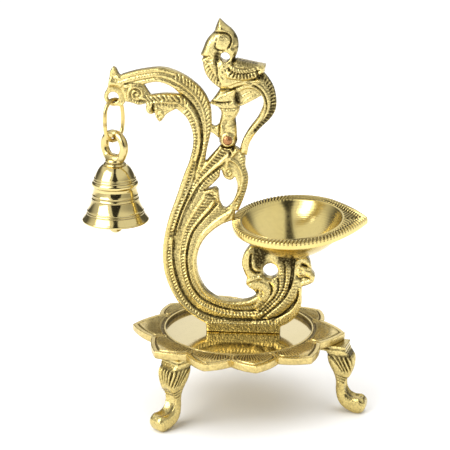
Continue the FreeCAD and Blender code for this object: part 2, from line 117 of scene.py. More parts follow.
# ---- height maps --------------------------------------------------------------------------------------
class Relief:
    """A casting's half thickness and its darkening, real patina with painted shade in places, over a patch of the
    XZ plane.
    """

    def __init__(self, x_range, z_range, pitch, ground):
        self.pitch = pitch
        self.x = np.arange(x_range[0], x_range[1], pitch)
        self.z = np.arange(z_range[0], z_range[1], pitch)
        self.X, self.Z = np.meshgrid(self.x, self.z, indexing="ij")
        self.half = np.full(self.X.shape, float(ground))
        self.dark = np.zeros(self.X.shape)
        self.edge = np.full(self.X.shape, 9.0)      # signed distance from the outline, negative inside

    def window(self, low, high):
        """The slices of the grid that cover a box."""
        i0, i1 = np.searchsorted(self.x, (low[0], high[0]))
        j0, j1 = np.searchsorted(self.z, (low[1], high[1]))
        return slice(i0, i1), slice(j0, j1)

    def filled(self, loop):
        """Which samples lie inside a closed loop."""
        inside = np.zeros(self.X.shape, bool)
        for a, b in zip(loop, np.roll(loop, -1, 0)):
            j0, j1 = np.searchsorted(self.z, sorted((a[1], b[1])))
            if j1 > j0:
                crossing = a[0] + (self.z[j0:j1] - a[1]) * (b[0] - a[0]) / (b[1] - a[1])
                inside[:, j0:j1] ^= self.x[:, None] < crossing[None, :]
        return inside

    def follow(self, line, reach):
        """Distance from the line, positive on the left of its run with x to the right and z up, and how far
        along the line the nearest point is. Beyond reach the distance is FAR."""
        near = np.full(self.X.shape, FAR)
        along = np.zeros(self.X.shape)
        side = np.ones(self.X.shape)
        run = 0.0
        for a, b in zip(line[:-1, :2], line[1:, :2]):
            d = b - a
            length = math.hypot(*d)
            if length < 1e-9:
                continue
            win = self.window(np.minimum(a, b) - reach, np.maximum(a, b) + reach)
            px, pz = self.X[win] - a[0], self.Z[win] - a[1]
            t = clamp((px * d[0] + pz * d[1]) / length ** 2)
            gap = np.hypot(px - t * d[0], pz - t * d[1])
            better = gap < near[win]
            near[win][better] = gap[better]
            along[win][better] = (run + t * length)[better]
            side[win][better] = np.where(d[0] * pz - d[1] * px > 0, 1, -1)[better]
            run += length
        return near * side, along

    def signed(self, loop, reach):
        """Signed distance from a closed loop, negative inside and no more than reach."""
        distance = np.minimum(np.abs(self.follow(np.vstack([loop, loop[:1]]), reach)[0]), reach)
        return np.where(self.filled(loop), -distance, distance)

    def add(self, loop, reach=4.0):
        self.edge = np.minimum(self.edge, self.signed(loop, reach))

    def cut(self, loop, reach=4.0):
        self.edge = np.maximum(self.edge, -self.signed(loop, reach))

    def at(self, grid, x, z):
        """The grid's value at points, between its samples."""
        i = np.clip((x - self.x[0]) / self.pitch, 0, len(self.x) - 1.001)
        j = np.clip((z - self.z[0]) / self.pitch, 0, len(self.z) - 1.001)
        i0, j0 = i.astype(int), j.astype(int)
        u, v = i - i0, j - j0
        return ((grid[i0, j0] * (1 - u) + grid[i0 + 1, j0] * u) * (1 - v)
                + (grid[i0, j0 + 1] * (1 - u) + grid[i0 + 1, j0 + 1] * u) * v)

    # strokes: each changes the half thickness and the patina along a line or between two rails
    def raise_to(self, height, share, mask, dark=0.0):
        """Inside the mask, a surface at height where share is 1, falling to what is there where it is 0."""
        blend = np.where(mask, clamp(share), 0)
        self.half = self.half * (1 - blend) + height * blend
        self.dark = self.dark * (1 - blend) + dark * blend

    def ridge(self, points, height, half=None, dark=0.0, notch=None):
        """A rounded ridge along the points. notch is (pitch, depth, slant)."""
        line = as_line(points)
        widths = line[:, 2] if line.shape[1] > 2 else np.full(len(line), half)
        offset, along = self.follow(line, widths.max() + 0.6)
        steps = np.concatenate([[0], np.cumsum(np.linalg.norm(np.diff(line[:, :2], axis=0), axis=1))])
        u = offset / np.interp(along, steps, widths)
        rise = height * np.ones(self.X.shape)
        tint = dark * np.ones(self.X.shape)
        if notch:
            wave = teeth(along + notch[2] * offset, notch[0])
            rise -= notch[1] * wave
            tint = np.maximum(tint, 0.9 * wave)
        self.raise_to(rise, 1.25 * np.sqrt(clamp(1 - u ** 2)), np.abs(u) < 1, tint)

    def darken(self, dark):
        self.dark = np.maximum(self.dark, dark)

    def groove(self, points, depth, half, dark=0.9):
        """A rounded groove along the points, tarnished at its bottom."""
        offset, _ = self.follow(as_line(points), half + 0.6)
        share = clamp(1 - (offset / half) ** 2)
        self.half = self.half - depth * share
        self.darken(dark * share)

    def between(self, left, right, rows, reach=14.0):
        """Bands between two rails that run side by side. Each row is (from, to, height, dark, notch, first,
        last): shares of the way across, and the stretch of the left rail that it covers."""
        a, along = self.follow(smooth(left), reach)
        b, _ = self.follow(smooth(right), reach)
        t = np.abs(a) / (np.abs(a) + np.abs(b) + 1e-6)
        region = (a > 0) & (b < 0) & (np.abs(a) < reach) & (np.abs(b) < reach)
        width = np.abs(a) + np.abs(b)
        for row in rows:
            t0, t1, height, dark, notch = row[:5]
            first, last = row[5:] if len(row) > 5 else (-1e3, 1e3)
            v = (t - t0) / (t1 - t0)
            ends = clamp(np.minimum(along - first, last - along) / 1.5 + 0.5)
            rise = height * np.ones(t.shape)
            tint = dark * np.ones(t.shape)
            if notch:
                wave = teeth(along + notch[2] * width * v, notch[0])
                rise = rise - notch[1] * wave
                tint = np.maximum(tint, 0.85 * wave)
            round_over = np.sqrt(clamp(1 - (2 * v - 1) ** 2)) * 1.3
            self.raise_to(rise, round_over * ends, region & (v > 0) & (v < 1), tint)

    def stipple(self, mask, size, depth, dark=0.5):
        """Small punched pits, scattered evenly."""
        bumps = blurred(seeded.standard_normal(self.X.shape), size / self.pitch)
        bumps = bumps / bumps.std()
        pits = np.clip(bumps - 0.3, 0, 1.2) * mask
        self.half = self.half - depth * pits
        self.darken(dark * clamp(pits * 1.6))


def clamp(value):
    return np.clip(value, 0, 1)


def hump(value):
    """A bell curve: 1 at 0, and next to nothing beyond 2."""
    return np.exp(-value ** 2)


def as_line(points):
    return points if isinstance(points, np.ndarray) else smooth(points)


def ellipse(x, z, across, up, count):
    return np.array([(x + across * math.cos(a), z + up * math.sin(a))
                     for a in np.linspace(0, 2 * math.pi, count, endpoint=False)])


def teeth(run, pitch):
    """1 in the gaps and 0 on the teeth of a row of notches."""
    wave = 0.5 + 0.5 * np.cos(2 * math.pi * run / pitch)
    return clamp((wave - 0.38) / 0.4)


def blurred(grid, radius):
    """A Gaussian blur of a 2D grid, radius in samples."""
    reach = int(3 * radius) + 1
    kernel = np.exp(-0.5 * (np.arange(-reach, reach + 1) / radius) ** 2)
    kernel /= kernel.sum()
    for axis in (0, 1):
        pad = [(reach, reach) if k == axis else (0, 0) for k in (0, 1)]
        padded = np.pad(grid, pad, mode="edge")
        grid = np.apply_along_axis(lambda row: np.convolve(row, kernel, "valid"), axis, padded)
    return grid


# ---- meshing ------------------------------------------------------------------------------------------
CORNERS = [(i, j, k) for i in (0, 1) for j in (0, 1) for k in (0, 1)]


def surface_nets(field, low, spacing):
    """Vertices and outward quads of the surface where the sampled field is zero, its inside negative."""
    inside = field < 0
    shape = np.array(field.shape)
    count = np.zeros(shape - 1, np.uint8)
    for i, j, k in CORNERS:
        count += inside[i:shape[0] - 1 + i, j:shape[1] - 1 + j, k:shape[2] - 1 + k]
    active = (count > 0) & (count < 8)
    cell = np.argwhere(active)
    index = np.full(active.shape, -1)
    index[active] = np.arange(len(cell))
    value = {c: field[tuple((cell + c).T)] for c in CORNERS}
    total, crossings = np.zeros((len(cell), 3)), np.zeros(len(cell))
    for a in CORNERS:
        for axis in range(3):
            if a[axis]:
                continue
            b = tuple(1 if k == axis else a[k] for k in range(3))
            crossed = (value[a] < 0) != (value[b] < 0)
            share = np.where(crossed, value[a] / np.where(crossed, value[a] - value[b], 1), 0)
            step = np.zeros(3)
            step[axis] = 1
            total += crossed[:, None] * (np.array(a) + share[:, None] * step)
            crossings += crossed
    verts = np.array(low) + np.array(spacing) * (cell + total / crossings[:, None])
    quads = []
    for axis in range(3):
        u, v = (axis + 1) % 3, (axis + 2) % 3
        front = np.take(inside, range(shape[axis] - 1), axis)
        behind = np.take(inside, range(1, shape[axis]), axis)
        edge = np.argwhere(front != behind)
        along_u, along_v = edge[:, u], edge[:, v]
        edge = edge[(along_u > 0) & (along_v > 0) & (along_u < shape[u] - 1) & (along_v < shape[v] - 1)]
        du, dv = np.eye(3, dtype=int)[u], np.eye(3, dtype=int)[v]
        ring = [index[tuple((edge + move).T)] for move in (-du - dv, -dv, 0 * du, -du)]
        quad = np.stack(ring, 1)
        outward = front[tuple(edge.T)]
        quad[~outward] = quad[~outward][:, ::-1]
        quads.append(quad)
    return verts, np.vstack(quads)


def settled(verts, field, rounds=3):
    """The vertices moved onto the surface where field(points) is zero."""
    for _ in range(rounds):
        here = field(verts)
        slope = np.stack([(field(verts + step) - here) / 0.02 for step in 0.02 * np.eye(3)], 1)
        steep = np.maximum((slope ** 2).sum(1), 0.05)
        verts = verts - slope * np.clip(here / steep, -0.3, 0.3)[:, None]
    return verts


def from_field(field, low, high, pitch):
    """Mesh of a distance field given as a function of an array of points."""
    axes = [np.arange(a - 2 * pitch, b + 2 * pitch, pitch) for a, b in zip(low, high)]
    grid = np.stack(np.meshgrid(*axes, indexing="ij"), -1)
    values = field(grid.reshape(-1, 3)).reshape(grid.shape[:3])
    verts, quads = surface_nets(values, [a[0] for a in axes], (pitch,) * 3)
    return settled(verts, field), quads


def revolve(profile, count=160):
    """A closed lathe profile of (radius, height) rows turned about Z. Points on the axis become one vertex."""
    angle = np.linspace(0, 2 * math.pi, count, endpoint=False)
    verts, rings = [], []
    for radius, height in profile:
        start = len(verts)
        if radius < 1e-6:
            verts.append((0, 0, height))
            rings.append(np.full(count, start))
        else:
            verts += [(radius * math.cos(a), radius * math.sin(a), height) for a in angle]
            rings.append(start + np.arange(count))
    return np.array(verts), strips(rings)


def strips(rings, closed=False):
    """Faces between neighbouring rings of vertex indices; quads that collapse become triangles."""
    faces = []
    pairs = zip(rings, rings[1:] + rings[:1]) if closed else zip(rings[:-1], rings[1:])
    for a, b in pairs:
        for i, j in zip(range(len(a)), list(range(1, len(a))) + [0]):
            corner = list(dict.fromkeys((int(a[i]), int(a[j]), int(b[j]), int(b[i]))))
            if len(corner) > 2:
                faces.append(corner)
    return faces


def tube(path, radius, count=28):
    """A closed tube round a closed planar path of 3D points."""
    ahead = np.roll(path, -1, 0) - np.roll(path, 1, 0)
    ahead /= np.linalg.norm(ahead, axis=1)[:, None]
    centre = path.mean(0)
    flat = np.cross(path[len(path) // 4] - centre, path[0] - centre)
    flat /= np.linalg.norm(flat)
    outward = np.cross(ahead, flat)
    angle = np.linspace(0, 2 * math.pi, count, endpoint=False)
    verts = (path[:, None] + radius * (np.cos(angle)[None, :, None] * outward[:, None]
                                       + np.sin(angle)[None, :, None] * flat))
    rings = [list(range(i * count, (i + 1) * count)) for i in range(len(path))]
    return verts.reshape(-1, 3), strips(rings, closed=True)


def turn_matrix(axis, degrees):
    return np.array(Matrix.Rotation(math.radians(degrees), 3, axis))


def piece(name, verts, faces, material, body, patina_and_shade):
    """A mesh object in place of the CAD node of its name. Its vertices are in drawn millimetres."""
    mesh = bpy.data.meshes.new(name)
    faces = faces.tolist() if isinstance(faces, np.ndarray) else faces
    mesh.from_pydata(((verts + SHIFT) * MM).tolist(), [], faces)
    mesh.polygons.foreach_set("use_smooth", [True] * len(mesh.polygons))
    layer = mesh.attributes.new("patina_and_shade", "FLOAT", "POINT")
    layer.data.foreach_set("value", np.asarray(patina_and_shade, float))
    mesh.validate()
    mesh.update()
    obj = bpy.data.objects.new(name, mesh)
    bpy.context.scene.collection.objects.link(obj)
    mesh.materials.append(material)
    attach(obj, body)
    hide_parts(name)
    return obj


# ---- distance fields ----------------------------------------------------------------------------------
def soft_min(a, b, k):
    h = clamp(0.5 + 0.5 * (b - a) / k)
    return b * (1 - h) + a * h - k * h * (1 - h)


def soft_max(a, b, k):
    return -soft_min(-a, -b, k)


def ring_field(p, centre, normal, major, minor):
    q = p - np.array(centre)
    n = np.array(normal, float)
    height = q @ n
    flat = np.linalg.norm(q - height[:, None] * n, axis=1)
    return np.hypot(flat - major, height) - minor


def rod_field(p, a, b, radius):
    a, b = np.array(a, float), np.array(b, float)
    t = clamp(((p - a) @ (b - a)) / ((b - a) @ (b - a)))
    return np.linalg.norm(p - a - t[:, None] * (b - a), axis=1) - radius


def drum_field(p, base, height, radius, rounding):
    """A short upright cylinder with rounded edges."""
    q = p - np.array(base)
    side = np.hypot(q[:, 0], q[:, 1]) - radius + rounding
    level = np.abs(q[:, 2] - height / 2) - height / 2 + rounding
    return np.minimum(np.maximum(side, level), 0) + np.hypot(np.maximum(side, 0), np.maximum(level, 0)) - rounding


# ---- materials ----------------------------------------------------------------------------------------
class Shader:
    """The nodes of a material or world; add() makes a node and links or sets its inputs by name."""

    def __init__(self, owner):
        self.tree = owner.node_tree

    def put(self, node, inputs):
        for key, value in inputs.items():
            socket = node.inputs[key]
            if isinstance(value, bpy.types.NodeSocket):
                self.tree.links.new(value, socket)
            else:
                socket.default_value = value

    def add(self, kind, inputs, **settings):
        node = self.tree.nodes.new(kind)
        for key, value in settings.items():
            setattr(node, key, value)
        self.put(node, inputs)
        return node

    def mix(self, factor, a, b):
        node = self.add("ShaderNodeMix", {}, data_type="RGBA")
        self.put(node, {0: factor, 6: a, 7: b})
        return node.outputs[2]

    def maths(self, operation, *values, clamp=False):
        node = self.add("ShaderNodeMath", dict(enumerate(values)), operation=operation, use_clamp=clamp)
        return node.outputs[0]

    def noise(self, scale, detail):
        where = self.add("ShaderNodeTexCoord", {}).outputs["Object"]
        return self.add("ShaderNodeTexNoise", {"Vector": where, "Scale": scale, "Detail": detail}).outputs["Fac"]


def rgb(r, g, b):
    return (r, g, b, 1.0)


def new_material(name):
    material = bpy.data.materials.new(name)
    material.use_nodes = True
    return material, Shader(material), material.node_tree.nodes["Principled BSDF"]


def brass(name, bright, warm, deep, rough, mottle, grain, bump, spin=None):
    """Brass of the bright colour with warm patches. The vertex attribute, which holds real patina and in places
    painted shade and a painted reflection, made uneven by mottle, turns it to the deep colour and dulls it. grain
    is the scale of its fine uneven surface and bump the strength; spin makes that surface fine rings about Z
    through an x, y in metres."""
    material, s, surface = new_material(name)
    fine = s.noise(grain, 4.0)
    broad = s.noise(45.0, 2.0)
    # the vertex attribute holds real patina and, on the frame, parrot, legs and cup, painted shade and a painted
    # reflection
    patina_and_shade_fac = s.add("ShaderNodeAttribute", {}, attribute_name="patina_and_shade").outputs["Fac"]
    wander = s.maths("MULTIPLY", s.maths("SUBTRACT", fine, 0.5), mottle)
    dark_patina_and_shade = s.maths("ADD", patina_and_shade_fac, wander, clamp=True)
    patches = s.maths("MULTIPLY", s.maths("SUBTRACT", broad, 0.42, clamp=True), 2.4, clamp=True)
    colour = s.mix(dark_patina_and_shade, s.mix(patches, rgb(*bright), rgb(*warm)), rgb(*deep))
    gloss = s.maths("ADD", s.maths("MULTIPLY_ADD", fine, 0.14, rough - 0.07), s.maths("MULTIPLY", dark_patina_and_shade, 0.22))
    height = s.maths("MULTIPLY_ADD", s.noise(grain * 0.35, 2.0), 0.6, fine)
    if spin:
        where = s.add("ShaderNodeTexCoord", {}).outputs["Object"]
        shifted = s.add("ShaderNodeMapping", {"Vector": where, "Location": (-spin[0], -spin[1], 0.0)})
        turned = s.add("ShaderNodeTexWave", {"Vector": shifted.outputs["Vector"], "Scale": 420.0,
                                             "Distortion": 1.5, "Detail": 2.0, "Detail Scale": 1.0},
                       wave_type="RINGS", rings_direction="Z")
        height = s.maths("MULTIPLY_ADD", turned.outputs["Fac"], 0.8, s.maths("MULTIPLY", fine, 0.3))
    relief = s.add("ShaderNodeBump", {"Height": height, "Strength": bump, "Distance": 0.0004})
    s.put(surface, {"Base Color": colour, "Metallic": 1.0, "Roughness": gloss, "Normal": relief.outputs["Normal"]})
    return material


# name, bright, warm and deep colour, roughness, mottle, grain, bump
CAST = brass("cast_brass", (0.78, 0.64, 0.27), (0.70, 0.54, 0.18), (0.042, 0.03, 0.010), 0.24, 1.5, 1100.0, 0.6)
LEG = brass("leg_brass", (0.73, 0.59, 0.235), (0.62, 0.47, 0.15), (0.05, 0.035, 0.010), 0.2, 1.5, 900.0, 0.5)
PETAL = brass("petal_brass", (0.83, 0.66, 0.27), (0.73, 0.55, 0.19), (0.10, 0.065, 0.02), 0.25, 0.9, 800.0, 0.4)
POLISHED = brass("turned_brass", (0.72, 0.59, 0.26), (0.66, 0.52, 0.20), (0.10, 0.065, 0.02), 0.11, 0.1, 400.0,
                 0.04)
WIRE = brass("wire_brass", (0.74, 0.58, 0.22), (0.68, 0.50, 0.16), (0.14, 0.08, 0.02), 0.2, 0.15, 600.0, 0.06)
COPPER = brass("copper", (0.50, 0.25, 0.11), (0.42, 0.18, 0.07), (0.14, 0.06, 0.02), 0.32, 0.5, 500.0, 0.25)
STEEL = brass("steel", (0.56, 0.56, 0.57), (0.46, 0.46, 0.48), (0.12, 0.11, 0.10), 0.32, 0.3, 900.0, 0.08)
DISC = brass("polished_disc", (0.80, 0.68, 0.38), (0.77, 0.65, 0.34), (0.16, 0.10, 0.04), 0.11, 0.05, 300.0,
             0.01)
CUP_OUT = brass("cup_brass", (0.82, 0.66, 0.26), (0.78, 0.58, 0.17), (0.06, 0.04, 0.012), 0.2, 0.2, 600.0, 0.1)
BOWL = brass("cup_bowl", (0.78, 0.63, 0.25), (0.74, 0.58, 0.20), (0.14, 0.09, 0.03), 0.17, 0.1, 400.0, 0.05,
             spin=tuple((CUP_CENTRE + SHIFT)[:2] * MM))
LOOP = brass("loop_brass", (0.70, 0.57, 0.25), (0.62, 0.47, 0.17), (0.10, 0.065, 0.02), 0.18, 0.25, 500.0, 0.15)
# ---- openwork frame -----------------------------------------------------------------------------------
GROUND = 2.6        # half thickness of the casting's sunk parts; ridges stand up to FULL
FULL = 3.6
EYE_HALF = 1.75     # half thickness beside the link's eye
EYE_RING = (3.8, 1.15)      # centre line and wire radius of the rounded ring round that eye
EYE_BORE_R = 2.78
SCROLL_EYE = (16.7, 74.6)   # round hole of the pedestal

ARCH_OUT = [(-61.3, 177.8), (-55.0, 179.8), (-48.6, 181.2), (-40.1, 182.0), (-32.2, 179.9), (-25.0, 175.8),
            (-19.1, 170.2), (-15.5, 163.0), (-14.7, 156.0), (-14.9, 150.0), (-17.4, 138.0), (-19.2, 130.5)]
ARCH_IN = [(-57.5, 171.4), (-49.7, 173.4), (-42.1, 174.6), (-35.5, 172.4), (-29.8, 168.6), (-24.6, 163.4),
           (-21.0, 156.0), (-19.6, 149.0), (-19.8, 141.0), (-22.3, 131.0)]
BODY_LEFT = [(-46.8, 160.2), (-41.0, 161.6), (-36.9, 161.1), (-33.0, 160.6), (-27.7, 156.0), (-24.7, 148.6),
             (-24.4, 141.9), (-26.4, 133.0), (-29.1, 126.0), (-33.3, 113.4), (-37.6, 100.6), (-40.1, 88.5),
             (-40.5, 80.2), (-39.6, 71.9), (-36.6, 62.9), (-31.1, 53.9), (-23.7, 47.6), (-16.0, 43.6),
             (0.0, 42.4), (18.0, 42.8), (29.0, 46.5), (33.5, 53.0)]
GROOVE_1 = [(-46.2, 167.6), (-38.0, 168.6), (-30.4, 168.6), (-25.5, 164.4), (-21.2, 157.5), (-19.5, 149.0),
            (-19.9, 140.0), (-22.3, 131.0), (-23.6, 124.0), (-27.0, 115.0), (-31.2, 104.0), (-34.2, 92.0),
            (-34.9, 80.0), (-33.0, 69.0), (-29.2, 59.5), (-22.5, 51.8), (-12.0, 47.4), (4.0, 46.4),
            (18.0, 48.0), (27.0, 53.0), (31.0, 59.0)]
GROOVE_2 = [(-11.6, 110.6), (-15.4, 106.2), (-20.0, 101.0), (-24.6, 94.4), (-27.4, 84.5), (-27.4, 74.2),
            (-24.9, 65.0), (-19.9, 58.4), (-10.5, 53.6), (1.0, 51.6), (9.5, 52.2)]
C_INNER = [(-3.0, 101.8), (-8.5, 99.6), (-13.3, 96.3), (-18.7, 90.4), (-21.5, 84.0), (-22.4, 77.6),
           (-21.2, 69.9), (-17.5, 62.8), (-12.0, 58.5), (-4.6, 56.8), (5.2, 57.8), (10.3, 61.1)]
STRAND_HIGH = [(-9.6, 142.8), (-13.2, 137.6), (-16.4, 133.4), (-19.4, 129.5), (-23.6, 122.9), (-27.2, 116.4),
               (-31.4, 107.0), (-35.0, 96.0)]
STRAND_LOW = [(-2.9, 137.4), (-8.3, 132.8), (-15.2, 127.0), (-21.6, 120.2), (-25.6, 113.4), (-29.3, 105.4),
              (-32.4, 96.0)]


def frame_outline(m):
    """The frame's outline: arch, body and foot, then the slot, head, strands, web, lug and pedestal."""
    m.add(outline(
        ARCH_OUT[1:10] + [(-17.4, 138.0), (-18.6, 127.0), (-18.4, 117.5)],
        [(-14.6, 118.6), (-12.2, 119.2), (-10.9, 117.4)],
        [(-10.3, 112.1), (-8.5, 108.1)],
        [(-2.0, 107.5)],
        [(-3.0, 101.8)],
        C_INNER[1:],
        [(20.0, 60.0), (33.2, 59.3)],
        [(33.2, 55.0), (30.6, 49.5), (26.0, 45.4), (22.6, 43.4), (22.4, 39.6)],
        [(-17.2, 39.6)],
        [(-17.5, 43.9)],
        BODY_LEFT[16:2:-1],
        [(-38.0, 157.6), (-40.0, 154.8), (-41.6, 153.6), (-43.2, 155.4), (-44.1, 158.4)],
        [(-45.4, 157.6), (-47.0, 157.6), (-48.6, 159.6), (-48.2, 163.4)],
        [(-52.0, 162.4), (-57.0, 163.6), (-60.4, 164.2)],
        [(-60.9, 171.2)],
        [ARCH_OUT[0]],
    ))
    m.cut(outline([(-42.1, 174.4), (-35.5, 172.2), (-30.9, 168.3)], [(-38.0, 168.6), (-46.2, 167.6)],
                     [(-49.7, 172.9)]))
    head = outline([(-68.2, 172.0), (-67.4, 176.5), (-66.9, 179.6), (-65.4, 182.0)],
                   [(-63.8, 180.6), (-62.6, 178.2), (-60.8, 176.6)], [(-58.0, 170.0), (-60.0, 162.5)],
                   [(-62.0, 161.2), (-65.6, 162.0)], [(-69.4, 164.0), (-69.8, 168.0)])
    m.add(head)
    m.add(outline([(-17.1, 133.9)], [(-22.5, 128.0), (-22.0, 119.0)], [(-18.4, 118.0), (-10.4, 125.2)],
                     [(-9.8, 129.0), (-7.8, 124.6), (-4.4, 123.6), (-2.0, 126.5), (-2.4, 130.0)],
                     [(-1.0, 136.0), (-2.4, 141.0)], [(-8.8, 143.6)]))
    m.add(outline([(2.6, 136.6), (2.9, 131.0), (4.4, 125.5), (4.1, 120.5), (2.0, 113.5), (-0.6, 107.0)],
                     [(-8.5, 107.0)], [(-4.2, 110.8), (-2.0, 115.7), (-1.2, 121.0), (-3.6, 128.0)],
                     [(-4.0, 134.0), (-3.2, 142.0)]))
    m.add(outline([(-15.6, 153.4)], [(-12.8, 151.9), (-10.9, 153.4)], [(-7.0, 153.4)], [(-7.0, 143.5)],
                     [(-8.7, 144.6), (-11.0, 145.8), (-13.6, 148.0), (-15.6, 148.9)]))
    m.add(ellipse(RIVET[0], RIVET[2], 4.8, 4.8, 39))
    m.add(outline([(7.5, 63.8), (3.9, 66.4), (4.4, 70.4)], [(2.6, 74.0), (1.4, 79.0), (3.0, 84.4), (6.2, 88.4)],
                     [(34.3, 84.0)], [(37.2, 81.0), (38.2, 77.6)], [(38.6, 75.2), (40.2, 72.4), (39.6, 69.2)],
                     [(36.8, 67.6), (33.6, 66.4)], [(33.4, 62.0), (33.6, 57.0)], [(20.0, 54.0), (10.3, 58.0)]))
    m.cut(ellipse(*SCROLL_EYE, 4.0, 4.2, 39))


def frame_relief(m):
    """Ridges, notched bands and grooves of the frame, the same on both faces."""
    m.between(ARCH_IN, ARCH_OUT, [
        (0.70, 1.00, 3.4, 0.0, None, -5, 22), (0.34, 0.66, FULL, 0.0, None, -5, 26),
        (0.00, 0.30, 3.5, 0.0, None, -5, 26),
        (0.56, 0.98, 3.35, 0.15, (1.75, 0.85, 0.25), 22, 200), (0.38, 0.54, FULL, 0.0, None, 24, 200),
        (0.02, 0.34, 3.3, 0.1, (1.5, 0.45, -0.3), 26, 200)])
    m.between(BODY_LEFT, GROOVE_1, [
        (0.00, 0.26, 3.2, 0.1, (1.5, 0.5, 0.0), -5, 14), (0.32, 0.48, FULL, 0.0, None, -5, 17),
        (0.50, 0.90, 3.45, 0.05, (1.6, 0.8, 0.2), -5, 20),
        (0.00, 0.50, 3.4, 0.05, (1.6, 0.85, 0.0), 18, 44), (0.52, 0.84, FULL, 0.0, None, 17, 50),
        (0.00, 0.46, FULL, 0.0, None, 42, 1e3),
        (0.50, 0.82, 3.3, 0.1, (1.85, 0.95, 0.12), 44, 1e3), (0.84, 0.97, FULL, 0.0, None, 48, 1e3)], reach=9.0)
    m.between(GROOVE_1, GROOVE_2, [
        (0.06, 0.34, 2.5, 0.75, None, 52, 1e3),
        (0.26, 0.46, 3.1, 0.25, (1.7, 0.6, 0.3), 50, 1e3), (0.47, 0.58, FULL, 0.0, None, 50, 1e3),
        (0.58, 0.84, 3.35, 0.1, (1.9, 0.9, 0.1), 50, 1e3), (0.85, 0.96, FULL, 0.0, None, 50, 1e3)])
    m.between(GROOVE_2, C_INNER, [
        (0.05, 0.52, 3.05, 0.15, (1.6, 0.45, 0.4), -5, 1e3), (0.56, 1.0, FULL, 0.0, None, -5, 1e3)], reach=9.0)
    m.between(STRAND_HIGH, STRAND_LOW, [
        (0.00, 0.20, FULL, 0.0, None), (0.22, 0.66, 3.35, 0.1, (1.8, 0.9, 0.15)),
        (0.68, 1.0, FULL + 0.1, 0.0, None)], reach=9.0)
    m.ridge([(-9.5, 128.4), (-13.4, 126.0), (-17.4, 122.2), (-21.0, 117.6)], 3.2, 1.3, 0.2, (1.7, 0.6, 0.3))
    m.groove([(-9.0, 131.0), (-14.4, 127.0), (-19.0, 122.6), (-22.6, 117.0), (-25.6, 110.6)], 0.7, 0.55)
    m.groove(GROOVE_1[8:], 1.1, 0.75)
    m.groove(GROOVE_2, 1.0, 0.65)
    m.groove(GROOVE_1[2:9], 0.8, 0.6)
    # leaf-tipped end of the middle band
    m.ridge([(-18.2, 117.4), (-14.0, 117.8), (-11.8, 116.6), (-10.9, 112.6)], 3.5, 0.9)
    m.groove([(-17.4, 115.8), (-14.6, 115.4), (-12.8, 113.2), (-12.4, 110.8)], 0.7, 0.5)
    # head: horn, cheek lines, scroll
    m.ridge(spiral((-53.4, 168.2), 4.6, -1.9, 215, half=0.85), FULL + 0.1)
    m.groove([(-59.2, 173.4), (-56.0, 173.6), (-51.0, 173.6)], 0.6, 0.5)
    m.ridge([(-60.6, 163.4), (-57.0, 164.4), (-52.0, 163.4), (-48.6, 163.0)], 3.4, 0.9, 0.1, (1.3, 0.4, 0.0))
    # curl: two lobes at the lower band's free end
    m.ridge([(-46.4, 162.2, 1.2), (-47.4, 160.4, 1.3), (-46.2, 158.6, 1.0)], FULL)
    m.ridge(spiral((-41.3, 157.8), 3.0, 1.2, 120, half=0.7), 3.5)
    m.groove([(-44.6, 163.4), (-44.9, 160.4), (-43.8, 157.4)], 0.9, 0.5)
    # strand behind the cup
    m.ridge([(0.4, 140.6, 1.4), (1.6, 133.6, 1.6), (3.0, 127.6, 1.4), (3.0, 121.6, 1.3), (1.2, 115.6, 1.3),
             (-1.2, 110.4, 1.3)], 3.3, notch=(1.55, 0.8, 0.3))
    m.ridge([(-5.1, 134.8), (-1.9, 133.1), (0.6, 129.4), (1.5, 125.0), (1.0, 120.5), (-0.9, 115.5),
             (-4.2, 111.3), (-8.2, 108.2)], FULL, 0.75)
    m.ridge([(1.0, 144.7), (-0.1, 141.8), (-2.1, 138.7), (-4.6, 136.0), (-6.4, 133.4), (-7.0, 130.5)], FULL, 0.7)
    m.ridge(spiral((-5.6, 127.8), 2.6, 1.3, 80, half=0.65), 3.4)
    for x, z in ((-3.5, 140.2), (-5.0, 137.8)):
        m.groove([(x, z + 0.6), (x, z - 0.6)], 1.4, 0.9)
    # brazed foot of the strands, with its dark flux
    m.raise_to(3.4, 1 - np.hypot(m.X + 2.6, m.Z - 104.6) / 3.4, np.hypot(m.X + 2.6, m.Z - 104.6) < 3.4, 0.75)
    # pedestal
    m.between([(-2.0, 57.6), (4.6, 58.6), (9.0, 61.0), (10.4, 63.4), (9.4, 64.8)],
              [(-2.0, 52.5), (5.6, 53.2), (11.0, 56.4), (14.6, 60.4), (15.6, 64.6)],
              [(0.0, 0.34, FULL, 0.0, None), (0.4, 1.0, 3.5, 0.05, (1.7, 0.7, 0.2))], reach=8.0)


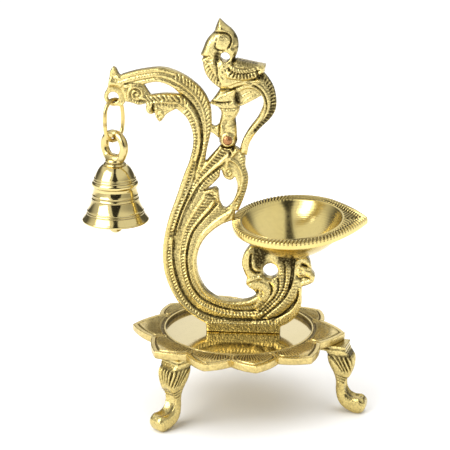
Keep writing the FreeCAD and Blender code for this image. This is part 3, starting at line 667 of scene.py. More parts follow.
def frame_pedestal_relief(m):
    """The pedestal stands proud of the frame: a hooked scroll, swept feather bands and a small bird's head."""
    bands = [
        ([(22.7, 79.5, 1.3), (22.8, 72.0, 1.5), (22.4, 66.4, 1.6), (20.7, 61.2, 1.5), (17.5, 57.2, 1.4),
          (12.9, 52.3, 1.1)], 4.4, (1.7, 0.9, 0.3)),
        ([(25.6, 77.6, 1.1), (26.0, 71.6, 1.3), (25.0, 65.6, 1.4), (22.8, 60.6, 1.4), (19.1, 56.2, 1.3),
          (13.8, 51.2, 1.0)], 4.4, (1.7, 0.9, 0.3)),
        ([(30.0, 70.5, 1.2), (29.8, 66.7, 1.8), (28.2, 62.0, 2.0), (25.2, 57.5, 1.9), (21.4, 53.4, 1.6),
          (15.4, 48.6, 1.1)], 5.0, (1.8, 1.0, 0.3)),
        ([(32.2, 65.4, 1.0), (33.0, 59.8, 1.5), (31.2, 54.9, 1.6), (27.2, 50.4, 1.5), (21.6, 46.2, 1.1)],
         4.4, None),
        ([(18.4, 68.6, 0.8), (19.4, 66.2, 0.9), (18.5, 62.2, 0.9), (15.4, 58.2, 0.8), (12.0, 54.8, 0.6)],
         4.1, None),
    ]
    for points, height, notch in bands:
        m.ridge(points, height, notch=notch)
    seams = [
        (0.45, [(24.2, 78.6), (24.4, 71.6), (23.7, 65.8), (21.7, 60.9), (18.2, 56.7), (13.4, 51.8)]),
        (1.0, [(28.8, 81.0), (28.4, 74.6), (27.8, 69.4), (27.0, 66.0)]),
        (0.6, [(27.0, 66.4), (25.6, 62.6), (23.2, 58.6), (19.4, 54.6), (12.6, 48.4)]),
        (0.6, [(20.8, 70.4), (21.1, 65.5), (19.8, 61.2), (16.4, 56.9), (11.2, 51.5)]),
        (0.5, [(31.8, 65.4), (30.9, 59.9), (28.0, 55.6), (23.4, 51.0), (18.2, 46.8)]),
        (0.55, [(16.4, 67.6), (17.5, 65.4), (17.3, 62.4), (14.6, 57.8), (11.4, 54.2)]),
    ]
    for half, points in seams:
        m.groove(points, 1.2, half, 0.95)
    # outer lobe with two inner curls, and a leaf below it
    m.ridge([(6.4, 86.0, 1.1), (3.9, 82.0, 1.5), (3.7, 77.9, 1.6), (4.9, 74.2, 1.3), (5.8, 71.9, 0.8)], 4.9)
    m.ridge([(8.4, 80.2, 0.6), (7.9, 77.6, 0.8), (9.0, 75.6, 0.8), (11.0, 75.3, 0.6)], 4.5)
    m.ridge([(10.8, 79.4, 0.5), (10.1, 77.9, 0.7), (11.4, 77.0, 0.5)], 4.4)
    m.groove([(6.3, 83.6), (6.0, 79.4), (6.4, 76.1), (8.6, 73.8), (11.1, 73.6)], 1.2, 0.65, 0.95)
    m.groove([(9.8, 81.6), (9.3, 78.6), (10.0, 76.9), (11.8, 76.2)], 0.9, 0.4, 0.8)
    m.ridge([(4.8, 68.2, 0.7), (7.9, 69.9, 1.2), (11.6, 70.9, 0.8)], 4.6)
    m.groove([(5.6, 67.9), (8.2, 69.4), (10.8, 70.5)], 0.8, 0.4)
    # hooked scroll, ribbed where it rises from the frame
    m.ridge([(9.0, 54.4, 1.0), (12.2, 57.0, 1.5), (13.9, 59.8, 1.6)], 4.6, notch=(1.6, 0.8, 0.2))
    m.ridge([(13.8, 59.2, 1.5), (15.0, 62.4, 2.0), (13.4, 65.5, 2.2), (10.0, 66.5, 2.2), (7.0, 65.6, 1.9),
             (6.0, 63.2, 1.4)], 5.1)
    m.ridge([(10.4, 61.0, 0.5), (11.6, 62.4, 0.8), (11.0, 63.8, 0.6)], 4.5)
    m.groove([(9.0, 62.2), (10.2, 62.6), (10.2, 63.9)], 1.2, 0.55, 0.95)
    # bird's head
    m.ridge([(30.6, 79.8, 1.2), (33.6, 81.4, 1.4), (36.6, 79.6, 1.2), (37.4, 77.0, 0.9)], 4.7)
    m.ridge([(36.4, 74.6, 1.0), (38.8, 72.2, 1.4), (38.0, 69.8, 1.2), (34.4, 68.2, 1.0)], 4.8)
    m.ridge(spiral((32.6, 75.1), 2.7, -1.3, 100, half=0.75), 4.7)
    m.groove([(33.4, 78.7), (35.6, 78.2), (37.8, 76.8)], 1.3, 0.7, 1.0)
    m.groove([(38.4, 70.9), (35.4, 71.8), (32.6, 70.9)], 1.0, 0.45)
    m.groove([(30.6, 72.6), (31.8, 71.2), (33.6, 70.2)], 0.8, 0.4)
    shade = clamp((m.Z - 79.0) / 3.4) * (m.X > 20.6) * (m.X < 31.5)
    m.darken(0.9 * shade)
    m.half = m.half - 0.8 * shade


def cavity(m, radius=1.1, gain=1.9):
    """Patina that gathers where the surface lies below its surroundings and is rubbed off where it is proud."""
    solid = np.where(m.edge < 0, m.half, m.half.min())
    lie = blurred(solid, radius / m.pitch) - solid
    return clamp(m.dark * 0.85 + gain * clamp(lie - 0.03) - 0.5 * clamp(-lie))


def cast_both_sides(m, thick_step, rounding, extra=None):
    """Mesh of the height map taken to both sides of the XZ plane, its outline rounded over."""
    top = m.half.max() + 1.2
    y = np.arange(-top, top + thick_step, thick_step)
    face = np.abs(y)[None, :, None] - m.half[:, None, :] + rounding
    side = np.broadcast_to(m.edge[:, None, :] + rounding, face.shape)
    field = np.minimum(np.maximum(face, side), 0) + np.hypot(np.maximum(face, 0), np.maximum(side, 0)) - rounding
    if extra:
        field = extra(field, m.x[:, None, None], y[None, :, None], m.z[None, None, :])
    return surface_nets(field, (m.x[0], y[0], m.z[0]), (m.pitch, thick_step, m.pitch))


def cast_tint(m, verts, dark_patina_and_shade, start, fade, cleaned, wall_shade):
    """The faces' patina and painted shade at each vertex. It gives way on the side walls, which lie more than
    start below the faces, to an even painted shade."""
    x, y, z = verts.T
    walls = clamp((m.at(m.half, x, z) - np.abs(y) - start) / fade)
    # the side walls take an even painted shade in place of the faces' darkening
    return np.maximum(m.at(dark_patina_and_shade, x, z) * (1 - cleaned * walls), wall_shade * walls)


# the parrot's waisted post, which laps over the frame's lug
POST = [[(-10.6, 171.4)], [(-13.2, 167.4), (-16.0, 163.9)],
        [(-12.2, 162.4), (-10.0, 160.0), (-9.9, 157.6), (-10.8, 153.4), (-10.9, 145.4), (-9.4, 141.4),
         (-6.2, 140.3)],
        [(-2.4, 142.2), (-1.6, 147.6), (-1.9, 152.8), (-2.3, 156.2), (-0.5, 160.2), (-0.3, 163.6), (-2.0, 168.5),
         (1.0, 173.0)]]
TANG_TOP = 153.6    # below this height the parrot's post is cut away behind, where the frame's lug stands


def swan_frame():
    m = Relief((-71.5, 43.0), (38.4, 185.0), 0.4, GROUND)
    frame_outline(m)
    m.half += 0.07 / 0.094 * blurred(seeded.standard_normal(m.X.shape), 3.0)     # 0.07 mm of uneven hand finish
    frame_relief(m)
    proud = outline([(6.4, 66.0), (1.0, 72.0), (0.6, 90.0)], [(42.0, 90.0)], [(42.0, 64.0)],
                    [(34.8, 60.0), (34.4, 45.0)], [(24.0, 42.0), (8.0, 46.0)], [(9.0, 52.0), (13.0, 58.0)])
    lift = clamp(0.5 - m.signed(proud, 3.0) / 1.6)
    m.half += 0.9 * lift * (m.edge < 1)
    frame_pedestal_relief(m)
    # the foot that stands on the disc
    foot = (m.Z < 45.4) & (m.X > -17.4) & (m.X < 22.8)
    rough = blurred(seeded.standard_normal(m.X.shape), 1.5)
    rough /= rough.std()
    m.half = np.where(foot, 5.85 + 0.16 * rough - 0.5 * hump((m.Z - 43.9) / 0.4), m.half)
    m.dark = np.where(foot, np.clip((42.4 - m.Z) / 3.2, 0.0, 0.36) + 0.15 * rough, m.dark)
    # painted shadow of the cup over the top of the pedestal
    cup_shadow = clamp((m.Z - 82.6) / 3.0) * (m.X > 5)
    # ellipses below the cup, darkened for lamp soot together with the cup's painted shadow
    hidden = [(25.6, 83.0, 6.0, 6.2), (11.0, 82.4, 4.0, 6.2), (17.0, 87.0, 9.0, 3.0), (28.4, 75.0, 1.1, 6.0)]
    soot_and_shade = sum(np.exp(-np.hypot((m.X - x) / a, (m.Z - z) / b) ** 4) for x, z, a, b in hidden)
    # painted shade round the rim of the pedestal's round hole
    hole_rim_shade = np.hypot(m.X - SCROLL_EYE[0], m.Z - SCROLL_EYE[1]) - 4.8
    hole_rim_shade = hump(hole_rim_shade / 1.3) * ((m.X < 17) | (m.Z < 73))
    m.dark = clamp(np.maximum(m.dark, np.maximum(0.9 * cup_shadow, 0.9 * hole_rim_shade)))
    near_eye = clamp((np.hypot(m.X - EYE[0], m.Z - EYE[2]) - 5.2) / 2.6)
    m.half = np.minimum(m.half, EYE_HALF + 2.2 * near_eye)
    m.half = blurred(m.half, 0.55)
    dark_patina_and_shade = np.maximum(cavity(m), clamp(1.1 * soot_and_shade))
    # painted light: the lower left of the frame is made up to 15 % lighter
    dark_patina_and_shade *= 1 - 0.15 * clamp((6 - m.X) / 4) * clamp((135 - m.Z) / 10)

    tang = m.signed(outline(*POST), 2.0)[:, None, :]

    def eye_and_lap(field, x, y, z):
        reach = np.hypot(x - EYE[0], z - EYE[2])
        ring = np.hypot(reach - EYE_RING[0], y) - EYE_RING[1]
        bored = np.maximum(soft_min(field, ring, 0.6), EYE_BORE_R - reach)
        return np.maximum(bored, np.minimum(np.minimum(-y, TANG_TOP - z), -tang))

    verts, quads = cast_both_sides(m, 0.65, 1.1, eye_and_lap)
    tint = cast_tint(m, verts, dark_patina_and_shade, 0.5, 1.2, 1.0, 0.30)
    piece("swan_frame", verts, quads, CAST, "lamp", tint)


# ---- parrot finial ------------------------------------------------------------------------------------
def domed(edge, height, width):
    """A cushion over a shape, from its signed edge distance: height in the middle, round towards the edge."""
    inward = clamp(-edge / width)
    return height * np.sqrt(1 - (1 - inward) ** 2)


def parrot_shape(m):
    """Head, body, post, tail and leaf as overlapping cushions; the largest half thickness wins."""
    parts = [
        (4.4, 3.4, [[(-12.4, 204.4), (-13.4, 201.0)], [(-17.2, 196.8), (-19.0, 192.6), (-20.5, 189.0)],
                    [(-19.0, 187.8)], [(-19.7, 186.6), (-19.0, 184.8)],
                    [(-14.0, 183.0), (-9.0, 184.0), (-4.5, 185.6)],
                    [(-2.9, 187.8), (-1.6, 191.0), (-1.2, 194.4), (-1.7, 197.6), (-3.2, 200.5), (-5.0, 202.6),
                     (-7.4, 204.4), (-10.9, 207.7)]]),
        (4.6, 4.0, [[(-19.0, 186.0), (-18.6, 181.0), (-16.4, 177.2), (-13.2, 174.0), (-10.2, 171.4)],
                    [(-5.0, 171.4), (2.0, 173.8), (8.0, 177.0)], [(10.0, 181.0), (4.0, 184.0), (-2.6, 187.0)],
                    [(-4.0, 190.0), (-10.0, 190.0), (-16.0, 188.0)]]),
        (3.9, 2.2, POST),
        (2.7, 1.7, [[(-1.0, 172.5), (3.0, 176.5), (8.5, 179.6), (12.0, 180.2)],
                    [(14.8, 176.8), (17.2, 172.4), (18.4, 166.5), (18.0, 161.0), (15.4, 156.6), (9.9, 150.9),
                     (5.3, 144.0), (3.7, 137.0)], [(-0.4, 137.4)],
                    [(0.9, 144.0), (4.2, 150.6), (9.6, 158.4), (11.8, 166.0), (8.6, 170.9), (3.4, 171.4),
                     (-1.5, 168.5)], [(-4.0, 171.0)]]),
        (1.3, 1.0, [[(-2.4, 169.5)], [(3.4, 172.0), (8.7, 171.2), (11.2, 168.8)],
                    [(8.0, 166.8), (4.4, 164.8), (1.0, 163.0)], [(-1.6, 162.4)]]),
    ]
    m.half[:] = 0.9
    for height, width, stretches in parts:
        edge = m.signed(outline(*stretches), 4.6)
        m.edge = np.minimum(m.edge, edge)
        m.half = np.maximum(m.half, domed(edge, height, width))
    m.cut(ellipse(-7.8, 188.3, 2.5, 2.5, 35))


def parrot_relief(m):
    """Hood, beak, feathers, tail ridges and post of the parrot, the same on both faces."""
    # hood, face and beak
    ball = np.hypot(m.X + 9.6, m.Z - 196.2) / 4.5
    m.half += 0.7 * np.sqrt(clamp(1 - ball ** 2))
    hood = outline([(-13.6, 201.2), (-11.0, 201.4), (-7.5, 201.3), (-5.0, 200.0), (-3.9, 198.2), (-4.0, 195.6),
                    (-5.6, 192.6)], [(-3.6, 189.6)], [(-1.0, 192.0), (0.0, 196.0), (-2.0, 202.0), (-8.0, 206.0)],
                   [(-10.8, 209.0), (-15.0, 205.0)])
    inside_hood = clamp(0.5 - m.signed(hood, 2.0) / 0.7)
    m.half += 0.35 * inside_hood
    nape = inside_hood * (m.X > -5.6)
    m.stipple(nape, 0.7, 0.35, 0.7)
    m.darken(0.35 * nape)
    m.groove([(-13.9, 200.6), (-11.0, 200.7), (-7.5, 200.6), (-5.6, 199.4), (-4.7, 197.8), (-4.9, 195.6),
              (-6.2, 193.2)], 0.9, 0.65)
    m.ridge([(-7.4, 199.0), (-6.0, 197.6), (-5.8, 195.6)], 5.0, 0.5)
    m.groove([(-12.6, 195.6), (-12.9, 193.4), (-11.0, 191.8), (-8.1, 191.6)], 0.8, 0.6, 0.7)
    m.groove([(-12.0, 198.2), (-11.9, 197.0)], 0.6, 0.4, 0.7)
    m.groove([(-20.8, 188.1), (-18.4, 188.0), (-15.6, 188.6)], 1.0, 0.55, 0.55)
    m.ridge([(-19.2, 186.2, 0.8), (-16.8, 186.4, 1.0), (-14.8, 187.4, 0.8)], 3.6)
    m.groove([(-18.9, 185.0), (-16.6, 185.2), (-14.6, 186.0)], 0.6, 0.45, 0.6)
    throat = 1 - np.hypot((m.X + 11.4) / 2.6, (m.Z - 188.2) / 4.6)
    m.half -= 1.7 * clamp(throat * 1.5)
    m.darken(0.8 * clamp(throat * 2.2))
    m.ridge([(-4.9, 190.4), (-4.2, 188.2), (-5.2, 186.0)], 4.2, 0.6)
    # breast and body
    m.ridge([(-17.2, 184.4, 1.5), (-16.0, 180.2, 2.1), (-13.6, 176.8, 2.3), (-11.0, 174.0, 1.6)], 4.0,
            notch=(1.9, 0.5, 0.7))
    m.groove([(-12.4, 185.6), (-11.8, 182.0), (-11.7, 179.0), (-10.9, 176.2)], 0.9, 0.5)
    for x, z, r in ((-8.2, 181.2, 2.0), (-8.4, 178.2, 2.1)):
        m.ridge(spiral((x, z), r, 1.1, 100, half=0.5), 4.9)
    # wing: a raised leaf with two rows of feathers, dark on top
    wing = m.signed(outline([(-7.6, 178.0), (-7.0, 182.0), (-4.9, 184.7), (-2.2, 187.4)],
                            [(4.0, 186.2), (12.9, 184.4)], [(12.3, 181.0)],
                            [(8.2, 178.0), (2.5, 176.6), (-2.7, 176.6)]), 4.6)
    m.edge = np.minimum(m.edge, wing)
    m.half = np.maximum(m.half, 2.0 + domed(wing, 4.0, 1.6))
    m.ridge([(-5.6, 181.6, 1.2), (-2.7, 179.2, 1.6), (2.5, 178.7, 1.6), (8.6, 179.8, 1.2)], 6.0,
            notch=(1.7, 1.0, 0.0))
    m.ridge([(-4.8, 183.8, 0.8), (-2.4, 181.9, 1.0), (1.5, 181.2, 1.0), (6.4, 182.2, 0.9)], 6.1,
            notch=(1.5, 0.7, 0.6))
    m.groove([(-6.0, 182.9), (-2.7, 180.6), (1.8, 180.2), (7.0, 181.2), (10.0, 182.2)], 0.9, 0.5)
    m.groove([(-3.9, 184.9), (-1.6, 183.2), (2.0, 182.8), (7.0, 183.6)], 0.8, 0.45)
    topside = clamp((m.Z - 183.6 - 0.02 * m.X) / 1.0) * (m.X > -4.4) * (m.X < 8.6) * (wing < 1)
    m.darken(0.75 * topside)
    m.half -= 0.5 * topside
    m.groove([(7.6, 184.6), (8.4, 182.6), (8.8, 180.4)], 0.8, 0.5)
    # tail: two smooth ridges inside, a roped edge outside
    m.ridge([(-5.0, 173.0), (0.4, 174.9), (5.2, 175.2), (9.2, 176.4)], 3.8, 1.0)
    m.ridge([(-1.6, 171.8), (3.6, 173.2), (7.6, 172.6), (10.9, 169.6), (12.7, 165.3), (12.5, 160.8), (9.9, 155.8),
             (5.6, 150.4), (2.4, 145.0), (1.2, 141.6)], 2.9, 0.75)
    m.ridge([(4.4, 175.4), (8.8, 174.4), (12.4, 171.0), (14.3, 166.4), (14.3, 161.4), (11.9, 156.2),
             (7.4, 150.6), (3.9, 144.8), (2.6, 139.6)], 3.0, 0.8)
    m.groove([(6.4, 173.9), (10.0, 171.8), (12.4, 168.4), (13.5, 164.4), (13.0, 159.6), (10.2, 154.4),
              (6.2, 149.4)], 0.8, 0.4, 0.8)
    # the roped edge is painted dark all along, as shade on the tail's outer edge
    m.ridge([(9.8, 178.7, 1.3), (13.0, 177.0, 1.7), (15.7, 173.0, 1.9), (17.0, 168.2, 1.9), (16.9, 162.8, 1.8),
             (14.6, 157.4, 1.5), (10.8, 153.2, 1.2), (7.6, 149.6, 0.9)], 2.7, notch=(1.8, 0.95, 0.35), dark=0.9)
    # painted shade over the right-hand part of the tail
    m.darken(0.32 * clamp((m.X - 5.0) / 3.0) * clamp((178.0 - m.Z) / 3.0))
    # leaf under the tail, perch and post
    # painted shade in the hollow behind the leaf under the tail
    hollow = clamp(1 - np.hypot((m.X + 1.6) / 2.4, (m.Z - 167.4) / 4.6))
    m.darken(0.95 * clamp(hollow * 2.4) * (m.X > -2.6))
    m.ridge([(1.2, 165.2), (4.8, 168.4), (8.6, 169.6)], 1.7, 0.5)
    m.ridge([(0.8, 168.4), (3.4, 170.2), (6.2, 170.8)], 1.6, 0.4)
    m.ridge([(-14.6, 164.4), (-10.0, 163.2), (-5.0, 162.9), (-1.0, 163.8)], 3.9, 0.8)
    m.ridge([(-13.6, 166.2), (-10.0, 166.6), (-6.4, 168.6), (-3.2, 171.0)], 4.0, 0.7)
    m.groove([(-13.8, 165.3), (-9.6, 164.8), (-4.4, 165.4)], 0.9, 0.5)
    m.groove([(-11.4, 168.6), (-8.0, 169.6), (-4.6, 171.6)], 0.7, 0.45, 0.6)
    m.groove([(-12.0, 162.0), (-8.0, 161.6), (-4.0, 161.8), (-1.0, 162.4)], 0.6, 0.45, 0.7)
    post = (m.Z < 161) & (m.Z > 148.5) & (m.X < 0)
    boss = np.hypot(m.X - RIVET[0], m.Z - RIVET[2])
    m.stipple(post * (boss > 4.2), 0.65, 0.4, 0.45)
    m.raise_to(4.15, 1.0 - clamp((boss - 2.9) / 0.7), boss < 3.8)
    m.half -= 0.5 * hump((boss - 4.1) / 0.45)
    m.darken(0.55 * hump((boss - 4.1) / 0.5) * (m.X < 1.5))


def parrot_finial():
    m = Relief((-22.5, 21.0), (134.5, 210.0), 0.33, 0.9)
    parrot_shape(m)
    parrot_relief(m)
    m.half = np.maximum(blurred(m.half, 0.6), 0.8)
    m.half = np.minimum(m.half, 6.15)
    wing_top = clamp((m.Z - 183.6 + 0.145 * m.X) / 0.7) * (m.X > -4.6) * (m.X < 8.8) * (m.Z < 188)
    # painted shade in the hollow behind the leaf under the tail
    hollow = np.exp(-np.hypot((m.X + 1.6) / 1.7, (m.Z - 166.9) / 3.4) ** 4)
    wing_top *= 0.72 * (0.8 + 0.2 * np.cos(m.X * 5.0))
    dark_patina_and_shade = np.maximum(cavity(m, 1.0, 1.3), np.maximum(wing_top, 0.92 * hollow))

    def lap(field, x, y, z):
        return np.maximum(field, np.where(x < 0.2, np.minimum(y, TANG_TOP - z), -9.0))

    verts, quads = cast_both_sides(m, 0.5, 0.75, lap)
    tint = cast_tint(m, verts, dark_patina_and_shade, 0.8, 1.4, 0.7, 0.25)
    piece("parrot_finial", verts, quads, CAST, "lamp", tint)


# ---- lotus plate --------------------------------------------------------------------------------------
def polar(radius, degrees):
    a = math.radians(degrees)
    return np.array((radius * math.cos(a), radius * math.sin(a)))


def arc_through(a, b, c, count):
    """Points on the circle through three points, from a towards c, without c."""
    d = 2 * (a[0] * (b[1] - c[1]) + b[0] * (c[1] - a[1]) + c[0] * (a[1] - b[1]))
    sq = [p @ p for p in (a, b, c)]
    centre = np.array((sq[0] * (b[1] - c[1]) + sq[1] * (c[1] - a[1]) + sq[2] * (a[1] - b[1]),
                       sq[0] * (c[0] - b[0]) + sq[1] * (a[0] - c[0]) + sq[2] * (b[0] - a[0]))) / d
    first, last = [math.atan2(*(p - centre)[::-1]) for p in (a, c)]
    sweep = (last - first + math.pi) % (2 * math.pi) - math.pi
    angle = first + sweep * np.arange(count) / count
    radius = np.linalg.norm(a - centre)
    return centre + radius * np.stack([np.cos(angle), np.sin(angle)], 1)


def back_trim(degrees):
    """How much shorter than the rest the petals at the back are."""
    return 7.0 * clamp(math.sin(math.radians(degrees)) * 1.3 - 0.1)


def plate_rim(count):
    """The petals' outline, with each point's petal angle, and the two notch angles beside that petal."""
    points, petal = [], []
    angles = list(PETAL_ANGLES)
    before = [angles[-1] + 360] + angles[:-1]
    after = angles[1:] + [angles[0] - 360]
    for last, angle, following in zip(before, angles, after):
        notches = ((last + angle) / 2, (angle + following) / 2)
        tip = polar(PETAL_TIP_R - back_trim(angle), angle)
        ends = [polar(PETAL_NOTCH_R - 0.8 * back_trim(a), a) for a in notches]
        for start, end in ((ends[0], tip), (tip, ends[1])):
            middle = (start + end) / 2
            middle *= 1 + PETAL_BULGE / np.linalg.norm(middle)
            points.append(arc_through(start, middle, end, count))
            petal += [(angle,) + notches] * count
    return np.vstack(points), np.array(petal)


def petal_face(x, y, to_rim, angle, notch_a, notch_b):
    """Height and dark patina of the petals' chased upper face."""
    r = np.hypot(x, y)
    a = np.degrees(np.arctan2(y, x))
    swing = (a - angle + 180) % 360 - 180
    room = np.where(swing > 0, notch_a - angle, angle - notch_b)
    to_side = r * np.sin(np.radians(np.clip(room - np.abs(swing), 0, 60)))
    inner = r - (DISC_R + 2.1)
    leaf = soft_min(soft_min(to_rim - 2.6, to_side - 1.5, 1.6), inner, 1.6)
    along = r * np.cos(np.radians(swing)) - DISC_R
    across = r * np.sin(np.radians(swing))
    height, dark = np.zeros(r.shape), np.zeros(r.shape)
    # a fan of chased lines from the disc, fading to a smooth tip
    fan = np.arctan2(across, along + 10.5)
    lines = 0.5 + 0.5 * np.cos(fan * 84 + 0.5 * np.sin(along * 1.3))
    reach = PETAL_TIP_R - DISC_R
    fade = clamp((0.66 - along / reach) / 0.2) * clamp((leaf - 0.5) / 0.5)
    height -= 0.42 * lines ** 1.5 * fade
    near = clamp(1.25 - along / reach * 1.6)
    dark = np.maximum(dark, (0.08 + 0.3 * near + 0.8 * lines ** 1.5) * fade)
    cross = clamp(np.cos(along * 2 * math.pi / 2.1 + np.abs(fan) * 7) - 0.6) * fade
    height -= 0.25 * cross
    height += 0.35 * clamp(leaf / 4.0) * clamp(1.2 - along / reach)
    # the leaf's outline with a faint line beside it, and the turned lines round the disc
    for where, at, depth, half, tint in ((leaf, 0.0, 0.62, 0.5, 0.95), (leaf, -1.05, 0.0, 0.3, 0.12),
                                         (r, DISC_R + 1.5, 0.5, 0.42, 0.95), (r, DISC_R + 2.5, 0.18, 0.25, 0.5)):
        share = clamp(1 - ((where - at) / half) ** 2)
        height -= depth * share
        dark = np.maximum(dark, tint * share)
    height += 0.22 * hump((leaf - 0.85) / 0.45)
    # short strokes in the spandrels between the leaves
    gap = (leaf < -0.7) & (to_rim > 2.4) & (to_side < 6) & (inner > 0)
    strokes = clamp(np.cos(2 * math.pi * along / 1.5)) * gap
    height -= 0.3 * strokes
    dark = np.maximum(dark, 0.6 * strokes)
    seam = clamp(1 - (to_side / 0.45) ** 2) * (to_rim > 0.6) * (inner > -0.4)
    height -= 0.4 * seam
    dark = np.maximum(dark, 0.75 * seam)
    return height, dark


class Rings:
    """A skin of closed rings with the same number of points, each with its height and patina."""

    def __init__(self, count):
        self.count, self.points, self.dark = count, [], []

    def add(self, xy, z, tint):
        self.points.append(np.column_stack([xy, np.broadcast_to(z, self.count)]))
        self.dark.append(np.broadcast_to(tint, self.count))

    def mesh(self):
        faces = strips([np.arange(self.count) + k * self.count for k in range(len(self.points))])
        return np.vstack(self.points), faces, np.concatenate(self.dark)


def second_material(obj, material, count):
    """Gives the first count faces another material."""
    obj.data.materials.append(material)
    index = np.zeros(len(obj.data.polygons), int)
    index[:count] = 1
    obj.data.polygons.foreach_set("material_index", index.tolist())


def lotus_plate():
    """The plate in rings from the disc's middle over the petals and back underneath."""
    rim, petal = plate_rim(64)
    unit = rim / np.linalg.norm(rim, axis=1)[:, None]
    loop = np.vstack([rim, rim[:1]])
    skin = Rings(len(rim))
    for radius in (1e-3, 14, 26, 34, 38.2, DISC_R - 0.3):
        skin.add(unit * radius, DISC_TOP, 0.0)
    skin.add(unit * (DISC_R - 0.08), DISC_TOP + 0.04, 0.9)
    disc_bands = len(skin.points)
    skin.add(unit * DISC_R, DISC_TOP + 0.2, 0.85)
    skin.add(unit * DISC_R, PLATE_TOP - 0.35, 0.5)
    skin.add(unit * (DISC_R + 0.12), PLATE_TOP - 0.1, 0.1)
    start = DISC_R + 0.4
    for s in np.linspace(0, 1, 68):
        radius = start + s * (np.linalg.norm(rim, axis=1) - start)
        xy = unit * radius[:, None]
        to_rim = distance_to_loop(xy, loop)
        height, tint = petal_face(xy[:, 0], xy[:, 1], to_rim, *petal.T)
        roll = clamp(1 - to_rim / 0.5)
        skin.add(xy, PLATE_TOP + height - 0.28 * (1 - np.sqrt(1 - 0.999 * roll ** 2)), tint)
    for z, out, tint in ((PLATE_TOP - 0.45, 0.0, 0.12), (PLATE_TOP - 1.6, -0.05, 0.25),
                         (PLATE_BOTTOM + 1.0, -0.12, 0.3), (PLATE_BOTTOM + 0.35, -0.2, 0.35),
                         (PLATE_BOTTOM, -0.6, 0.5)):
        skin.add(rim + unit * out, z, tint)
    for s in (0.97, 0.8, 0.5, 0.2):
        skin.add(rim * s, PLATE_BOTTOM, 0.45)
    skin.add(unit * 1e-3, PLATE_BOTTOM, 0.45)
    verts, faces, dark = skin.mesh()
    obj = piece("lotus_plate", verts, faces, PETAL, "lamp", dark)
    second_material(obj, DISC, disc_bands * skin.count)


def distance_to_loop(xy, loop):
    """Distance of each point, one per rim point, from the rim near it."""
    best = np.full(len(xy), FAR)
    for shift in range(-40, 41):
        a, b = np.roll(loop[:-1], shift, 0), np.roll(loop[1:], shift, 0)
        d = b - a
        t = clamp(((xy - a) * d).sum(1) / (d * d).sum(1))
        best = np.minimum(best, np.linalg.norm(xy - a - t[:, None] * d, axis=1))
    return best


# ---- legs ---------------------------------------------------------------------------------------------
def leg_fields():
    """Signed distances of a leg's side view (outward, up) and front view (across, up), as lookups."""
    top = PLATE_BOTTOM
    side = Relief((36.0, 72.0), (-3.0, 42.0), 0.25, 0.0)
    side_grid = side.signed(outline(
        [(55.4, top - 3.0)],
        [(58.6, 31.4), (59.0, 26.5), (57.6, 19.5), (56.9, 14.0), (57.3, 11.0), (59.8, 9.5), (63.4, 9.4),
         (66.2, 6.6), (65.6, 2.4), (62.8, 0.0)],
        [(59.8, 0.0)],
        [(55.2, 2.6), (51.5, 6.4), (49.9, 11.5), (49.8, 17.0), (48.7, 22.0), (46.4, 27.0), (45.4, 31.0),
         (45.8, top - 3.0)],
        [(45.8, top)], [(55.4, top)]), 9.0)
    front = Relief((-9.0, 9.0), (-3.0, 42.0), 0.25, 0.0)
    right = [(6.5, top), (6.5, 33.0), (6.3, 29.0), (5.6, 23.5), (4.5, 18.5), (4.1, 13.0), (4.8, 7.0), (4.9, 3.6),
             (3.4, 0.0)]
    left = [(-x, z) for x, z in right[::-1]]
    front_grid = front.signed(outline(right[1:], [left[0]], left[1:], [right[0]]), 9.0)
    return side, side_grid, front, front_grid


def leg_form():
    """One leg along +X: fluted knee, bands, ball foot, and the block and collar under the plate."""
    side, side_grid, front, front_grid = leg_fields()
    top = PLATE_BOTTOM

    def carving(p):
        rho, t, z = p.T
        turn = np.degrees(np.arctan2(t, rho - 52.4))
        level = (z - 23.4) / 9.6
        share = clamp(level)
        flute = np.zeros(len(p))
        for at in (-132, -109, -87, -65, -43, -21, 0, 21, 43, 65, 87, 109, 132):
            off = (turn - at * (0.55 + 0.45 * share)) / (7.4 * (0.4 + 0.6 * share))
            length = clamp(1.3 * (1 - (2 * level - 1) ** 4))
            flute = np.maximum(flute, clamp(1 - off ** 2) * length)
        bands = np.zeros(len(p))
        for at in (17.3, 19.1, 20.6):
            bands = np.maximum(bands, hump((z - at + 0.22 * (rho - 54)) / 0.36))
        bands *= clamp((rho - 49.5) / 3)
        return flute, bands

    def field(p):
        rho, t, z = p.T
        body = soft_max(side.at(side_grid, rho, z), front.at(front_grid, t, z), 3.0)
        flute, bands = carving(p)
        body = body + 0.8 * flute + 0.45 * bands
        dish = 7.4 - np.sqrt((rho - 61.2) ** 2 + t ** 2 + (z - 15.5) ** 2)
        body = soft_max(body, dish, 0.5)
        block = np.maximum(np.maximum(np.abs(rho - 47.9) - 7.4, np.abs(t) - 6.3), np.abs(z - top + 1.5) - 1.5)
        lip = 0.5 * hump((z - top + 1.6) / 0.42) * (rho > 42)
        collar = np.maximum(np.maximum(np.abs(rho - 50.6) - 5.2, np.abs(t) - 6.0), np.abs(z - 34.2) - 0.55)
        body = soft_min(body, soft_min(block + lip, collar, 0.8), 0.9)
        return np.maximum(np.maximum(body, z - top), -z)

    verts, quads = from_field(field, (40.0, -7.0, 0.0), (68.5, 7.0, top), 0.36)
    verts[:, 2] -= verts[:, 2].min() * clamp(1 - verts[:, 2] / 8.0)     # the sole stands on the ground
    flute, bands = carving(verts)
    shade = hump((verts[:, 2] - 33.0) / 0.9) + 0.9 * hump((verts[:, 2] - 36.4) / 0.5)
    inner = clamp((49.5 - verts[:, 0]) / 4)
    tint = clamp(0.95 * flute + 0.8 * bands + 0.75 * clamp(shade) + 0.3 * inner)
    # painted dark reflection on the dished top of the toe
    arch = hump(np.hypot(verts[:, 0] - 58.0, verts[:, 2] - 10.0) / 1.7)
    return verts, quads, np.maximum(np.maximum(tint, 0.6 * arch), 0.06)


